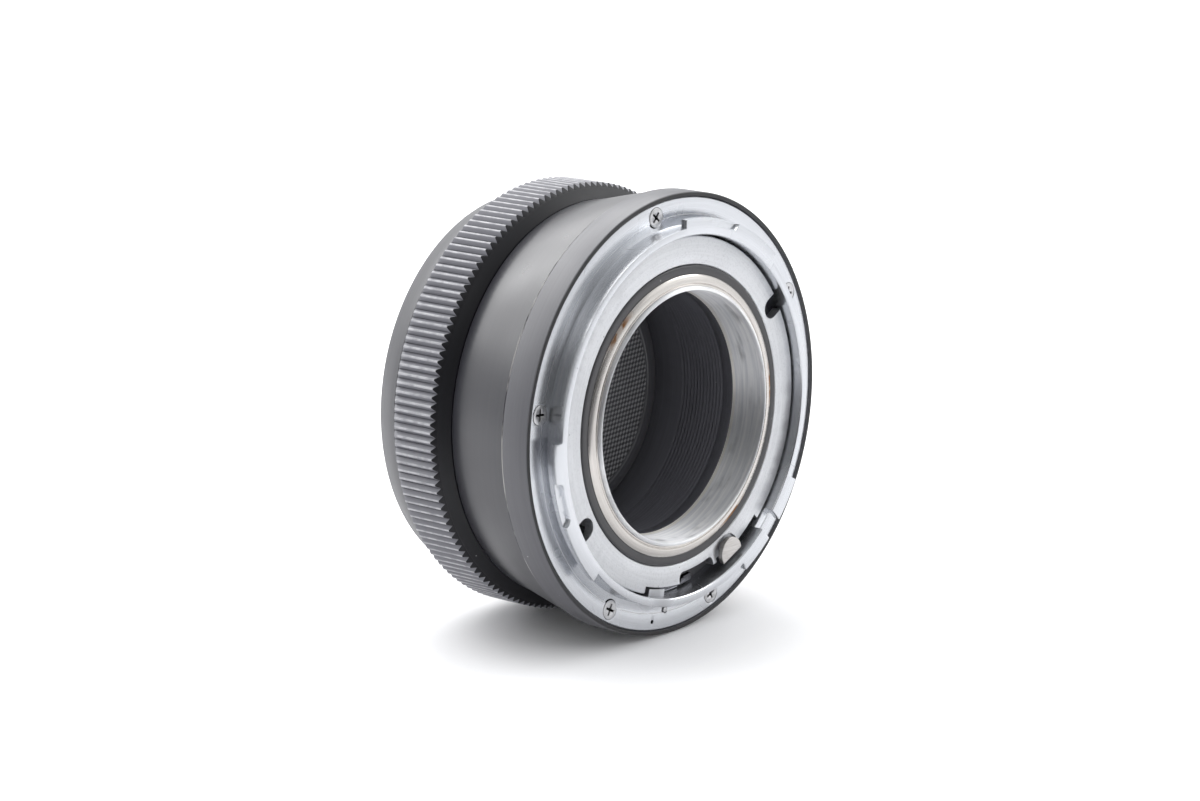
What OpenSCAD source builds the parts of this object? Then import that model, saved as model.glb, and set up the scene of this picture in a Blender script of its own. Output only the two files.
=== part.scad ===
// Extension tube for a medium-format camera with a breech-lock bayonet, with its rear cap on.
// The optical axis is Y. The lens seat is the plane Y = 0, facing -Y, and the camera seat is at Y = extension.
// Angles are in degrees, anticlockwise from +X as the lens side is seen, with +Z up.

/* [Tube] */
// Distance from the lens seat to the camera seat
extension = 45; // [42:0.5:90]
// Diameter of the throat at its front edge, which the radii of all other pieces follow
throat_d = 60.5; // [54:0.5:68]
// Radial wall of the throat tube
throat_wall = 3.6; // [3.2:0.1:3.8]
// How much the light baffle widens towards the camera, on the radius
baffle_flare = 2.4; // [1.5:0.1:2.6]
// Radial wall of the baffle tube at its wide end
baffle_wall = 2.5; // [2.2:0.1:2.7]
// Pitch of the fine grooves in the baffle
groove_pitch = 1.1; // [0.8:0.1:1.5]
// Depth of the fine grooves in the baffle
groove_depth = 0.3; // [0.15:0.05:0.4]
// Radial wall of the housing round the flange
housing_rim = 1.2; // [0.8:0.1:4]
// Length of the flange housing behind the flange face
housing_l = 7.3; // [6.5:0.1:10]

/* [Lens bayonet] */
// Radial gap between the drive pins and the bayonet collar that centres a lens
collar_gap = 1; // [0.9:0.05:1.3]
// Radial wall of the bayonet collar
collar_wall = 1.9; // [1.5:0.1:2.1]
// Height of the collar above the flange face
collar_h = 4.3; // [4:0.1:5.5]
// How far the lugs reach out from the collar
lug_reach = 2.1; // [1.7:0.1:2.2]
// Thickness of the lugs
lug_t = 1.6; // [1.3:0.1:1.9]
// Depth of the pockets in two of the lugs
pocket_depth = 1.1; // [0.5:0.1:1.2]
// Width of the notch that takes the locating key
notch_w = 5.6; // [4:0.1:6.5]
// Depth of the notch that takes the locating key
notch_depth = 2.4; // [2:0.1:3]
// Width of the chrome flange outside the lugs
flange_land = 4.5; // [4:0.1:6]
// Thickness of the chrome flange
flange_t = 3; // [2.6:0.1:4]
// Diameter of the heads of the flange screws
flange_screw_head_d = 4.7; // [4:0.1:5]

/* [Cocking drive] */
// Depth of the cocking ring's face below the lens seat
ring_face_y = 2.5; // [2.2:0.1:2.7]
// Thickness of the cocking ring
ring_t = 2.4; // [2:0.1:2.6]
// How far the circle of the drive pins lies inside the drum's outside
pin_inset = 0.3; // [0.1:0.1:0.5]
// Diameter of the drive pins
pin_d = 4.8; // [4.4:0.1:5]
// How far the drive pins stand out behind the camera seat
pin_reach = 5; // [3.5:0.1:5.5]
// Travel of the cocking drive
drive_travel = 50; // [30:1:50]
// Radial wall of the drum
drum_wall = 2.3; // [1.8:0.1:2.4]
// Diameter of the head of the lock plunger
plunger_d = 7.5; // [6.5:0.1:7.6]
// Travel of the lock plunger
plunger_travel = 1.3; // [0.8:0.1:1.4]

/* [Breech ring] */
// Length of the breech ring
breech_l = 16.3; // [15:0.1:19]
// Radial wall of the barrel under the breech ring
journal_wall = 2.95; // [2.6:0.05:3.1]
// Radial clearance of the breech ring on the barrel
breech_clearance = 0.05; // [0.02:0.01:0.1]
// Thickness of the lugs that pull the tube to the camera
breech_lug_t = 1.2; // [1.2:0.1:1.6]
// Angle that each breech lug spans
breech_lug_span = 40; // [24:1:42]
// Travel of the breech ring from open to locked
breech_travel = 60; // [54:1:62]
// Number of teeth round the grip
knurl_teeth = 154; // [100:2:170]
// Depth of the grip's teeth
knurl_depth = 1.2; // [0.6:0.1:1.3]
// Wall between the lug ring and the roots of the teeth
grip_wall = 1.35; // [1.1:0.05:2.2]

/* [Rear cap] */
// Height of the cap behind the camera seat
cap_h = 10.7; // [9.5:0.1:14]
// Depth of the dish in the middle of the cap
dish_depth = 20.5; // [8:0.5:24]
// Wall of the cap
cap_wall = 1.6; // [1.2:0.1:1.8]
// Diameter of the textured middle of the dish
dish_face_d = 53.5; // [40:0.5:54]
// How much the cap's skirt narrows to the rear, on the radius
skirt_taper = 2.6; // [1:0.1:3]

/* [Hidden] */

// Smoothness
round_faces = 180;
small_faces = 40;
// Gap between pieces that are screwed or pressed together
fit_gap = 0.05;
// Gap round the head of a screw
head_gap = 0.12;
// Gap between pieces that move past each other
run_gap = 0.3;
// Gap between the camera seat and what is locked to it
seat_gap = 0.1;
// Radial running clearance of the drive
drive_clearance = 0.05;
// Small edge break on turned metal
edge = 0.25;
// How far a cutting shape reaches past the face it cuts
past = 1;
// How far a milled corner stays off the floor beside it
corner_step = 0.04;

// Throat and baffle tube
throat_r = throat_d / 2;
throat_y = 1;
throat_end_y = 10.4;
throat_end_r = throat_r - 0.75;
throat_rim_r = throat_r + 0.85;
throat_r_out = throat_r + throat_wall;
throat_joint_r = throat_r_out - 1.85;
throat_joint_l = 2;
baffle_front_r = throat_end_r;
baffle_rear_r = throat_end_r + baffle_flare;
baffle_r_out = baffle_rear_r + baffle_wall;
baffle_y = throat_end_y + fit_gap;
baffle_tail = 10.2;
flare_end_y = extension - baffle_tail;
groove_start_y = throat_end_y + 3;
groove_tail = 16.5;
groove_end_y = extension - groove_tail;
groove_count = floor((groove_end_y - groove_start_y) / groove_pitch);

// Drum round the baffle tube, with its bush and the spigot of the driver ring inside its rear end
bush_r_in = baffle_r_out + fit_gap;
bush_r = bush_r_in + 1.75;
bush_l = 6.5;
driver_bore_r = bush_r + drive_clearance;
driver_spigot_r = driver_bore_r + 1.8;
driver_spigot_l = 4;
drum_bore_r = driver_spigot_r + fit_gap;
drum_r = drum_bore_r + drum_wall;
pin_circle_r = drum_r - pin_inset;
pin_r = pin_d / 2;

// Bayonet, shared by the lens flange and the rear cap
collar_bore_r = pin_circle_r + pin_r + collar_gap;
collar_r = collar_bore_r + collar_wall;
lug_r = collar_r + lug_reach;
lug_spans = [[46, 91.5], [177.5, 223.5], [298, 331]];
pocket_spans = [[67, 80], [189, 202.5]];
notch_angle = 314.5;

// Flange and its housing
flange_r = lug_r + flange_land;
flange_y = collar_h;
flange_back_y = flange_y + flange_t;
flange_groove = 0.3;
flange_screw_angles = [28, 98.5, 170, 241, 286.5];
flange_screw_circle_r = (lug_r + flange_r) / 2 - 0.85;
flange_screw_head_r = flange_screw_head_d / 2;
flange_screw_r = 1.25;
flange_screw_head_h = 1.2;
flange_screw_l = flange_t + 3;
dowel_angle = 266;
dowel_r = 0.65;
dowel_circle_r = (collar_r + flange_r) / 2 - 1.3;
dowel_l = flange_t + 2;
vent_angle = 260.5;
vent_r = 0.45;
vent_l = flange_t - 1;
vent_circle_r = flange_r - 2.1;
housing_r = flange_r + housing_rim;
housing_lip = 0.4;
housing_end_y = flange_y + housing_l;
housing_spigot_l = 3.5;

// Cocking ring, its recesses and the stop tab that the flange holds
ring_back_y = ring_face_y + ring_t;
ring_r = collar_bore_r - 0.6;
slot_angles = [31, 211];
slot_clearance = 0.15;
slot_depth_y = pin_reach + 4;
recess_r = ring_r - 1.75;
recess_span = [252, 313.8];
deep_recess_r = recess_r - 2.7;
deep_recess_span = [269.7, 288];
deep_recess_corner = 1.3;
tab_span = [253, 262];
tab_r = recess_r + 1.15;

// Lock plunger in the cocking ring: a D-shaped head on a shank that stands off its centre
plunger_r = plunger_d / 2;
plunger_angle = 296;
plunger_flat_r = tab_r - 0.35;
plunger_circle_r = plunger_flat_r - 0.95;
plunger_top_y = 1;
plunger_seat_r = plunger_r + 0.65;
plunger_seat_y = ring_face_y + 1.2;
plunger_back_y = plunger_seat_y - plunger_travel - 0.1;
plunger_shank_r = 0.9;
plunger_end_y = ring_back_y + 0.85;
clip_r = 1.6;
clip_t = 0.35;
spring_wire_r = 0.13;
spring_coil_r = plunger_shank_r + 0.3 + spring_wire_r;
spring_turns = 3;
spring_pocket_r = spring_coil_r + spring_wire_r + 0.2;
spring_pocket_depth = 0.8;

// Bezel and the black ring that retains the cocking ring
bezel_y = 2;
bezel_seat_y = 4.5;
retainer_r_in = throat_r_out + fit_gap;
retainer_sleeve_r = retainer_r_in + 1.05;
retainer_r = retainer_sleeve_r + 1.05;
retainer_y = ring_face_y - 0.2;
retainer_flange_t = 1;
retainer_end_y = 7.9;
ring_face_r = retainer_r + 0.1;
ring_lip_r = retainer_sleeve_r + drive_clearance;

// Seat plate that meets the camera
plate_t = 3;
plate_y = extension - plate_t;
spigot_h = 2;
spigot_r = collar_bore_r - 0.1;
plate_bore_r = baffle_r_out - 0.4;
barrel_bore_r = collar_bore_r + 0.5;
journal_r = barrel_bore_r + journal_wall;
plate_r = journal_r - 0.05;
seat_screw_angles = [for (i = [0:5]) notch_angle + 30 + 60 * i];
seat_screw_circle_r = (spigot_r + plate_r) / 2;
seat_screw_head_r = 1.25;
seat_screw_r = 0.7;
seat_screw_head_h = 0.8;
seat_screw_l = plate_t + 4;
key_w = notch_w - 0.4;
key_h = 1.4;

// Lengths of the drum and of the driver ring that carries the pins
driver_t = 2.5;
driver_end_y = plate_y - 0.5;
driver_y = driver_end_y - driver_t;
driver_r = pin_circle_r + pin_r + 0.1;
drum_y = ring_back_y + fit_gap;
shank_circle_r = drum_bore_r + drum_wall / 2;
shank_notch_r = clip_r + 0.3;
shank_notch_y = ring_back_y - 0.1;
drum_end_y = driver_y - fit_gap;
ring_spigot_l = 4;
ring_spigot_r_in = retainer_sleeve_r + 1.5;
ring_spigot_r = drum_bore_r - fit_gap;
drum_screw_angles = [91, 151, 331];
drum_screw_r = 0.7;
drum_screw_head_r = 1.2;
drum_screw_head_h = 0.7;
pin_shank_r = 1.6;

// Lock lever in the channel round the front of the drum
ledge_bore_r = drum_r + 0.6;
lever_t = 1.2;
lever_end_y = flange_back_y - run_gap;
lever_y = lever_end_y - lever_t;
lever_r_in = drum_r + 1;
lever_r_out = collar_bore_r - 0.5;
lever_pivot_r = (lever_r_in + lever_r_out) / 2;
lever_pivot_angle = 265;
lever_span = [262, 281];
lever_screw_r = 0.55;
lever_screw_head_r = 0.9;
lever_screw_head_t = 0.45;
lever_screw_l = 5.5;
lever_tab_span = [275, 277];
lever_tab_y = ring_back_y + run_gap;
spring_t = 0.15;
spring_span = [266, 274];

// Breech ring
breech_end_y = extension + seat_gap + lug_t + 0.1 + breech_lug_t;
breech_y = breech_end_y - breech_l;
breech_bore_r = journal_r + breech_clearance;
lug_ring_r_in = lug_r + 0.25;
lug_ring_r = lug_ring_r_in + 1.85;
lug_ring_y = extension;
breech_lug_r = collar_r + 0.2;
breech_lug_y = breech_end_y - breech_lug_t;
breech_lug_centres = [8.5, 134.5, 260.75];
root_r = lug_ring_r + fit_gap + grip_wall;
tip_r = root_r + knurl_depth;
knurl_y = breech_y + 2.5;
crest_r = tip_r - 0.12;
breech_front_r = journal_r + 1.45;
lug_screw_angles = [for (c = breech_lug_centres) for (s = [-12, 12]) c + s];
lug_screw_circle_r = (lug_ring_r_in + lug_ring_r) / 2;
lug_screw_head_r = 0.75;
lug_screw_r = 0.45;
lug_screw_head_h = 0.5;
lug_screw_l = 4.5;
snap_y = breech_y + 5.2;
snap_t = 1;
snap_span = [4, 356];
snap_groove = 0.9;
stop_screw_y = plate_y - 2;
stop_screw_angle = 30;
stop_screw_r = 0.8;
stop_screw_head_r = 1.2;
stop_groove_r = breech_bore_r + 1.6;
dot_r = 1;
dot_t = 0.5;

// Main barrel
barrel_front_y = housing_end_y + fit_gap;
barrel_front_r = housing_r - 0.35;
shoulder_y = breech_y - run_gap;
barrel_joint_r = barrel_bore_r + 5;

// Rear cap
cap_y = extension + seat_gap;
cap_end_y = extension + cap_h;
cap_floor_y = cap_end_y - dish_depth;
cap_skirt_r = root_r - 1.1;
cap_skirt_y = breech_end_y + run_gap;
cap_bore_r = spigot_r + 0.5;
dish_face_r = dish_face_d / 2;
dish_r = baffle_rear_r - 1.3;
dish_root_r = baffle_rear_r - 0.5;

// A piece of wire or a shaft along Y
module post(r, y0, y1, faces = small_faces)
    translate([0, y0, 0])
        rotate([-90, 0, 0])
            cylinder(r = r, h = y1 - y0, $fn = faces);

// A post whose radius changes from r0 to r1
module cone(r0, r1, y0, y1, faces = small_faces)
    translate([0, y0, 0])
        rotate([-90, 0, 0])
            cylinder(r1 = r0, r2 = r1, h = y1 - y0, $fn = faces);

// A shape turned about the optical axis from its outline of [radius, y] points
module turned(outline)
    rotate([-90, 0, 0])
        rotate_extrude($fn = round_faces)
            polygon(outline);

// The same, from one angle to another
module turned_arc(outline, span)
    rotate([-90, 0, 0])
        rotate([0, 0, -span[1]])
            rotate_extrude(angle = span[1] - span[0], $fn = round_faces)
                polygon(outline);

function band(r0, r1, y0, y1) = [[r0, y0], [r1, y0], [r1, y1], [r0, y1]];

// A band with its four edges broken
function soft_band(r0, r1, y0, y1, e = edge) = [
    [r0 + e, y0], [r1 - e, y0], [r1, y0 + e], [r1, y1 - e],
    [r1 - e, y1], [r0 + e, y1], [r0, y1 - e], [r0, y0 + e]
];

// Puts what is drawn on the +X axis at an angle, and at a radius where one is given
module at_angle(a, r = 0)
    rotate([0, -a, 0])
        translate([r, 0, 0])
            children();

// A screw with a countersunk head and a cross recess, its head's face at y = 0, pointing to +Y
module cross_screw(head_r, head_h, shank_r, length, turn = 0)
    difference() {
        union() {
            cone(head_r, shank_r, 0, head_h);
            post(shank_r, 0, length);
        }
        rotate([0, turn, 0])
            for (a = [0, 90])
                rotate([0, a, 0])
                    cube([head_r * 1.15, head_h * 1.1, head_r * 0.3], center = true);
    }

// The hole that takes such a screw
module screw_hole(head_r, head_h, shank_r, length) {
    cone(head_r + head_gap, shank_r + fit_gap, 0, head_h + head_gap);
    post(head_r + head_gap, -past, 0);
    post(shank_r + fit_gap, 0, length + fit_gap);
}

// Collar with lugs, its seat face at y = 0, facing -Y
module bayonet(height, bore_r) {
    difference() {
        union() {
            turned([
                [bore_r + edge, 0], [collar_r - edge / 2, 0], [collar_r, edge / 2],
                [collar_r, height], [bore_r, height], [bore_r, edge]
            ]);
            for (span = lug_spans)
                turned_arc([
                    [collar_r - edge, 0], [lug_r - edge, 0], [lug_r, edge],
                    [lug_r, lug_t], [collar_r - edge, lug_t]
                ], span);
        }
        for (span = pocket_spans)
            lug_pocket(span);
        at_angle(notch_angle)
            translate([bore_r - past, -past, -notch_w / 2])
                cube([lug_r - bore_r + 2 * past, notch_depth + past, notch_w]);
    }
}

// Pocket in the face of a lug, with rounded inner corners
module lug_pocket(span) {
    floor_r = collar_r + 0.1;
    corner = lug_r - floor_r;
    inset = asin(corner / lug_r);
    turned_arc(band(floor_r, lug_r + past, -past, pocket_depth), [span[0] + inset, span[1] - inset]);
    for (a = [span[0] + inset, span[1] - inset])
        at_angle(a, lug_r)
            post(corner - corner_step, -past, pocket_depth);
}

module lens_flange()
    color("gainsboro")
        difference() {
            union() {
                bayonet(flange_back_y, collar_bore_r);
                turned([
                    [collar_r - edge, flange_y + flange_groove], [lug_r + 0.4, flange_y + flange_groove],
                    [lug_r + 0.4, flange_y], [flange_r - edge, flange_y], [flange_r, flange_y + edge],
                    [flange_r, flange_back_y], [collar_r - edge, flange_back_y]
                ]);
                turned_arc(band(tab_r, collar_bore_r + edge, ring_face_y, ring_back_y), tab_span);
            }
            for (a = flange_screw_angles)
                at_angle(a, flange_screw_circle_r)
                    translate([0, flange_y, 0])
                        screw_hole(flange_screw_head_r, flange_screw_head_h, flange_screw_r, flange_t + past);
            at_angle(dowel_angle, dowel_circle_r)
                post(dowel_r + fit_gap, flange_y - past, flange_back_y + past);
            at_angle(vent_angle, vent_circle_r)
                post(vent_r, flange_y - past, flange_y + vent_l);
        }

module flange_screws()
    color("silver")
        for (a = flange_screw_angles)
            at_angle(a, flange_screw_circle_r)
                translate([0, flange_y, 0])
                    cross_screw(flange_screw_head_r, flange_screw_head_h, flange_screw_r, flange_screw_l, a);

module flange_dowel()
    color("silver")
        at_angle(dowel_angle, dowel_circle_r)
            post(dowel_r, flange_y, flange_y + dowel_l);

module flange_housing()
    color("#3a3a3c")
        difference() {
            turned([
                [ledge_bore_r, flange_back_y + fit_gap], [flange_r + 0.15, flange_back_y + fit_gap],
                [flange_r + 0.15, flange_y - housing_lip], [housing_r - edge, flange_y - housing_lip],
                [housing_r, flange_y - housing_lip + edge], [housing_r, housing_end_y - edge],
                [housing_r - edge, housing_end_y], [barrel_joint_r, housing_end_y],
                [barrel_joint_r, housing_end_y + housing_spigot_l],
                [barrel_bore_r, housing_end_y + housing_spigot_l], [barrel_bore_r, housing_end_y],
                [ledge_bore_r, housing_end_y]
            ]);
            for (a = flange_screw_angles)
                at_angle(a, flange_screw_circle_r)
                    post(flange_screw_r + fit_gap, flange_back_y, flange_y + flange_screw_l + fit_gap);
            at_angle(dowel_angle, dowel_circle_r)
                post(dowel_r + fit_gap, flange_back_y, flange_y + dowel_l + fit_gap);
            at_angle(lever_pivot_angle, lever_pivot_r)
                post(lever_screw_r + fit_gap, flange_back_y, lever_y + lever_screw_l);
            at_angle(notch_angle, housing_r - dot_t)
                translate([0, (flange_y + housing_end_y) / 2, 0])
                    rotate([0, 90, 0])
                        cylinder(r = dot_r + fit_gap, h = dot_t + past, $fn = small_faces);
        }

module housing_index_dot()
    color("crimson")
        at_angle(notch_angle, housing_r - dot_t + fit_gap)
            translate([0, (flange_y + housing_end_y) / 2, 0])
                rotate([0, 90, 0])
                    cylinder(r = dot_r, h = dot_t - 3 * fit_gap, $fn = small_faces);

module main_barrel()
    color("#2c2c2e")
        difference() {
            turned([
                [barrel_joint_r + fit_gap, barrel_front_y], [barrel_front_r - edge, barrel_front_y],
                [barrel_front_r, barrel_front_y + edge],
                [breech_front_r + 0.6, shoulder_y - 3.5], [breech_front_r, shoulder_y],
                [journal_r, shoulder_y],
                [journal_r, snap_y - 0.1], [journal_r - snap_groove, snap_y - 0.1],
                [journal_r - snap_groove, snap_y + snap_t + 0.1], [journal_r, snap_y + snap_t + 0.1],
                [journal_r, plate_y - fit_gap], [barrel_bore_r, plate_y - fit_gap],
                [barrel_bore_r, barrel_front_y + housing_spigot_l],
                [barrel_joint_r + fit_gap, barrel_front_y + housing_spigot_l]
            ]);
            for (a = seat_screw_angles)
                at_angle(a, seat_screw_circle_r)
                    post(seat_screw_r + fit_gap, extension - seat_screw_l - fit_gap, plate_y);
            at_angle(stop_screw_angle, 0)
                translate([0, stop_screw_y, 0])
                    rotate([0, 90, 0])
                        cylinder(r = stop_screw_r + fit_gap, h = journal_r + past, $fn = small_faces);
        }

module throat_tube()
    color("lightgray")
        turned([
            [throat_r, throat_y], [throat_r + 0.5, throat_y], [throat_rim_r, throat_y + 0.35],
            [throat_rim_r, bezel_seat_y], [throat_r_out, bezel_seat_y],
            [throat_r_out, throat_end_y - throat_joint_l - 0.1], [throat_joint_r, throat_end_y - throat_joint_l - 0.1],
            [throat_joint_r, throat_end_y], [throat_end_r, throat_end_y],
            [throat_end_r + 0.2, throat_end_y - 0.6], [throat_r - 0.1, throat_y + 0.6]
        ]);

module throat_bezel()
    color("tan")
        turned([
            [throat_rim_r + fit_gap, bezel_y - 0.35], [throat_rim_r + 0.45, bezel_y - 0.35],
            [throat_rim_r + 0.55, bezel_y - 0.1], [throat_rim_r + 0.7, bezel_y - 0.1],
            [throat_rim_r + 0.8, bezel_y - 0.35], [throat_r_out - 0.5, bezel_y - 0.2], [throat_r_out, bezel_y + 0.1],
            [throat_r_out, bezel_seat_y - fit_gap], [throat_rim_r + fit_gap, bezel_seat_y - fit_gap]
        ]);

module ring_retainer()
    color("#1c1c1e")
        turned([
            [retainer_r_in, retainer_y], [retainer_r - edge, retainer_y], [retainer_r, retainer_y + edge],
            [retainer_r, retainer_y + retainer_flange_t],
            [retainer_sleeve_r, retainer_y + retainer_flange_t],
            [retainer_sleeve_r, retainer_end_y], [retainer_r_in, retainer_end_y]
        ]);

function baffle_r(y) =
    baffle_front_r + (baffle_rear_r - baffle_front_r) * (y - baffle_y) / (flare_end_y - baffle_y);

module baffle_tube()
    color("#1a1a1c")
        turned(concat(
            [
                [throat_joint_r + fit_gap, baffle_y - throat_joint_l], [baffle_r_out, baffle_y - throat_joint_l],
                [baffle_r_out, plate_y - fit_gap], [plate_bore_r - fit_gap, plate_y - fit_gap],
                [plate_bore_r - fit_gap, extension + spigot_h], [baffle_rear_r + edge, extension + spigot_h],
                [baffle_rear_r, extension + spigot_h - edge], [baffle_rear_r, flare_end_y]
            ],
            [
                for (i = [groove_count:-1:1]) for (s = [0, 0.5, 1])
                    let (y = groove_start_y + (i - s) * groove_pitch)
                    if (s < 1 || i == 1)
                        [baffle_r(y) + (s == 0.5 ? groove_depth : 0), y]
            ],
            [
                [baffle_front_r, baffle_y], [throat_joint_r + fit_gap, baffle_y]
            ]
        ));

module drum_bush()
    color("goldenrod")
        turned(soft_band(bush_r_in, bush_r, driver_end_y - bush_l, driver_end_y));

module seat_plate()
    color("silver")
        difference() {
            turned([
                [plate_bore_r, plate_y], [plate_r, plate_y], [plate_r, extension - edge],
                [plate_r - edge, extension], [spigot_r, extension],
                [spigot_r, extension + spigot_h - edge], [spigot_r - edge, extension + spigot_h],
                [plate_bore_r, extension + spigot_h]
            ]);
            for (a = slot_angles)
                pin_slot(a);
            for (a = seat_screw_angles)
                at_angle(a, seat_screw_circle_r)
                    translate([0, extension, 0])
                        mirror([0, 1, 0])
                            screw_hole(seat_screw_head_r, seat_screw_head_h, seat_screw_r, plate_t + past);
        }

// Arc slot that a drive pin travels in, from its rest at angle a
module pin_slot(a) {
    r = pin_r + 0.3;
    turned_arc(band(pin_circle_r - r, pin_circle_r + r, plate_y - past, extension + spigot_h + past),
        [a - drive_travel, a]);
    for (end = [a - drive_travel, a])
        at_angle(end, pin_circle_r)
            post(r, plate_y - past, extension + spigot_h + past);
}

module seat_screws()
    color("silver")
        for (a = seat_screw_angles)
            at_angle(a, seat_screw_circle_r)
                translate([0, extension, 0])
                    mirror([0, 1, 0])
                        cross_screw(seat_screw_head_r, seat_screw_head_h, seat_screw_r, seat_screw_l);

module locating_key()
    color("silver")
        intersection() {
            at_angle(notch_angle)
                translate([spigot_r + fit_gap, extension, -key_w / 2])
                    cube([plate_r, key_h, key_w]);
            post(plate_r, extension, extension + key_h, round_faces);
        }

module snap_ring()
    color("dimgray")
        turned_arc(band(journal_r - snap_groove + fit_gap, journal_r + 0.55, snap_y, snap_y + snap_t), snap_span);

module breech_stop_screw()
    color("dimgray")
        at_angle(stop_screw_angle)
            translate([0, stop_screw_y, 0])
                rotate([0, 90, 0]) {
                    translate([0, 0, barrel_bore_r + 0.1])
                        cylinder(r = stop_screw_r, h = journal_wall, $fn = small_faces);
                    translate([0, 0, journal_r + fit_gap])
                        cylinder(r = stop_screw_head_r, h = 1.1, $fn = small_faces);
                }

module lever_pivot_screw()
    color("dimgray")
        at_angle(lever_pivot_angle, lever_pivot_r) {
            post(lever_screw_head_r, lever_y - 0.05 - lever_screw_head_t, lever_y - 0.05);
            post(lever_screw_r, lever_y - 0.1, lever_y + lever_screw_l - fit_gap);
        }

module lever_spring()
    color("lightsteelblue")
        turned_arc(
            band(lever_r_out + 0.1, lever_r_out + 0.1 + spring_t, lever_y + 0.1, lever_end_y - 0.1), spring_span);

module cocking_ring()
    color("whitesmoke")
        difference() {
            turned([
                [ring_face_r + edge, ring_face_y], [ring_r - edge, ring_face_y], [ring_r, ring_face_y + edge],
                [ring_r, ring_back_y], [ring_spigot_r, ring_back_y],
                [ring_spigot_r, ring_back_y + ring_spigot_l], [ring_spigot_r_in, ring_back_y + ring_spigot_l],
                [ring_spigot_r_in, ring_back_y], [ring_lip_r, ring_back_y],
                [ring_lip_r, retainer_y + retainer_flange_t + 0.2],
                [ring_face_r, retainer_y + retainer_flange_t + 0.2], [ring_face_r, ring_face_y + edge]
            ]);
            for (a = slot_angles)
                drive_slot(a);
            ring_recess();
            at_angle(plunger_angle, plunger_circle_r)
                post(plunger_seat_r, ring_face_y - past, plunger_seat_y);
            at_angle(plunger_angle, shank_circle_r)
                post(plunger_shank_r + fit_gap, plunger_seat_y - past, ring_back_y + past);
            shank_notch();
            for (a = drum_screw_angles)
                at_angle(a)
                    translate([0, ring_back_y + ring_spigot_l / 2, 0])
                        rotate([0, 90, 0])
                            cylinder(r = drum_screw_r + fit_gap, h = ring_r, $fn = small_faces);
        }

// Slot with a round bottom, open at the rim, that a drive pin enters
module drive_slot(a) {
    r = pin_r + slot_clearance;
    at_angle(a, pin_circle_r) {
        post(r, ring_face_y - past, slot_depth_y);
        translate([0, ring_face_y - past, -r])
            cube([ring_r - pin_circle_r + past, slot_depth_y - ring_face_y + past, 2 * r]);
    }
}

// Recess in the rim of the cocking ring, which clears the flange's stop and shows the lock lever
module ring_recess() {
    y0 = ring_face_y - past;
    y1 = ring_back_y + past;
    corner = deep_recess_corner;
    inset = asin(corner / deep_recess_r);
    turned_arc(band(recess_r, ring_r + past, y0, y1), recess_span);
    turned_arc(band(deep_recess_r + corner, ring_r + past, y0, y1), deep_recess_span);
    turned_arc(band(deep_recess_r, ring_r + past, y0, y1),
        [deep_recess_span[0] + inset, deep_recess_span[1] - inset]);
    for (a = [deep_recess_span[0] + inset, deep_recess_span[1] - inset])
        at_angle(a, deep_recess_r + corner)
            post(corner - corner_step, y0, y1);
}

module lock_plunger()
    color("tan")
        difference() {
            union() {
                intersection() {
                    at_angle(plunger_angle, plunger_circle_r) {
                        post(plunger_r, plunger_top_y + 0.2, plunger_back_y);
                        cone(plunger_r - 0.2, plunger_r, plunger_top_y, plunger_top_y + 0.2);
                    }
                    at_angle(plunger_angle)
                        translate([0, 0, -plunger_d])
                            cube([plunger_flat_r, plunger_seat_y, 2 * plunger_d]);
                }
                at_angle(plunger_angle, shank_circle_r)
                    post(plunger_shank_r, plunger_back_y - spring_pocket_depth - 0.1, plunger_end_y);
            }
            at_angle(plunger_angle, shank_circle_r)
                difference() {
                    post(spring_pocket_r, plunger_back_y - spring_pocket_depth, plunger_back_y + past);
                    post(plunger_shank_r, 0, plunger_end_y);
                }
        }

module plunger_clip()
    color("dimgray")
        at_angle(plunger_angle, shank_circle_r)
            difference() {
                post(clip_r, ring_back_y + fit_gap, ring_back_y + fit_gap + clip_t);
                post(plunger_shank_r + 0.03, ring_back_y - past, plunger_end_y + past);
            }

module plunger_spring()
    color("lightsteelblue")
        at_angle(plunger_angle, shank_circle_r)
            coil(spring_coil_r, spring_wire_r, plunger_back_y - spring_pocket_depth + fit_gap,
                plunger_seat_y - fit_gap, spring_turns);

// A helical spring about the Y axis, from y0 to y1 over its wire
module coil(r, wire_r, y0, y1, turns) {
    sides = 6;
    steps = 16 * turns;
    rise = y1 - y0 - 2 * wire_r;
    points = [
        for (i = [0:steps], j = [0:sides - 1])
            let (a = 360 * turns * i / steps, b = 360 * j / sides, q = r + wire_r * cos(b))
            [q * cos(a), y0 + wire_r + rise * i / steps + wire_r * sin(b), q * sin(a)]
    ];
    walls = [
        for (i = [0:steps - 1], j = [0:sides - 1])
            let (k = (j + 1) % sides)
            [sides * i + j, sides * i + k, sides * (i + 1) + k, sides * (i + 1) + j]
    ];
    ends = [
        [for (j = [sides - 1:-1:0]) j],
        [for (j = [0:sides - 1]) sides * steps + j]
    ];
    polyhedron(points, concat(walls, ends));
}

// Room behind the cocking ring for the plunger's shank and clip
module shank_notch()
    at_angle(plunger_angle, shank_circle_r)
        post(shank_notch_r, shank_notch_y, plunger_end_y + plunger_travel + 0.4);

module drum()
    color("#303034")
        difference() {
            turned(soft_band(drum_bore_r, drum_r, drum_y, drum_end_y));
            for (a = slot_angles)
                drive_slot(a);
            shank_notch();
            for (a = drum_screw_angles) {
                drum_screw_place(a, ring_back_y + ring_spigot_l / 2)
                    screw_hole(drum_screw_head_r, drum_screw_head_h, drum_screw_r, drum_wall + past);
                drum_screw_place(a, driver_y - driver_spigot_l / 2)
                    screw_hole(drum_screw_head_r, drum_screw_head_h, drum_screw_r, drum_wall + past);
            }
        }

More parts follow.
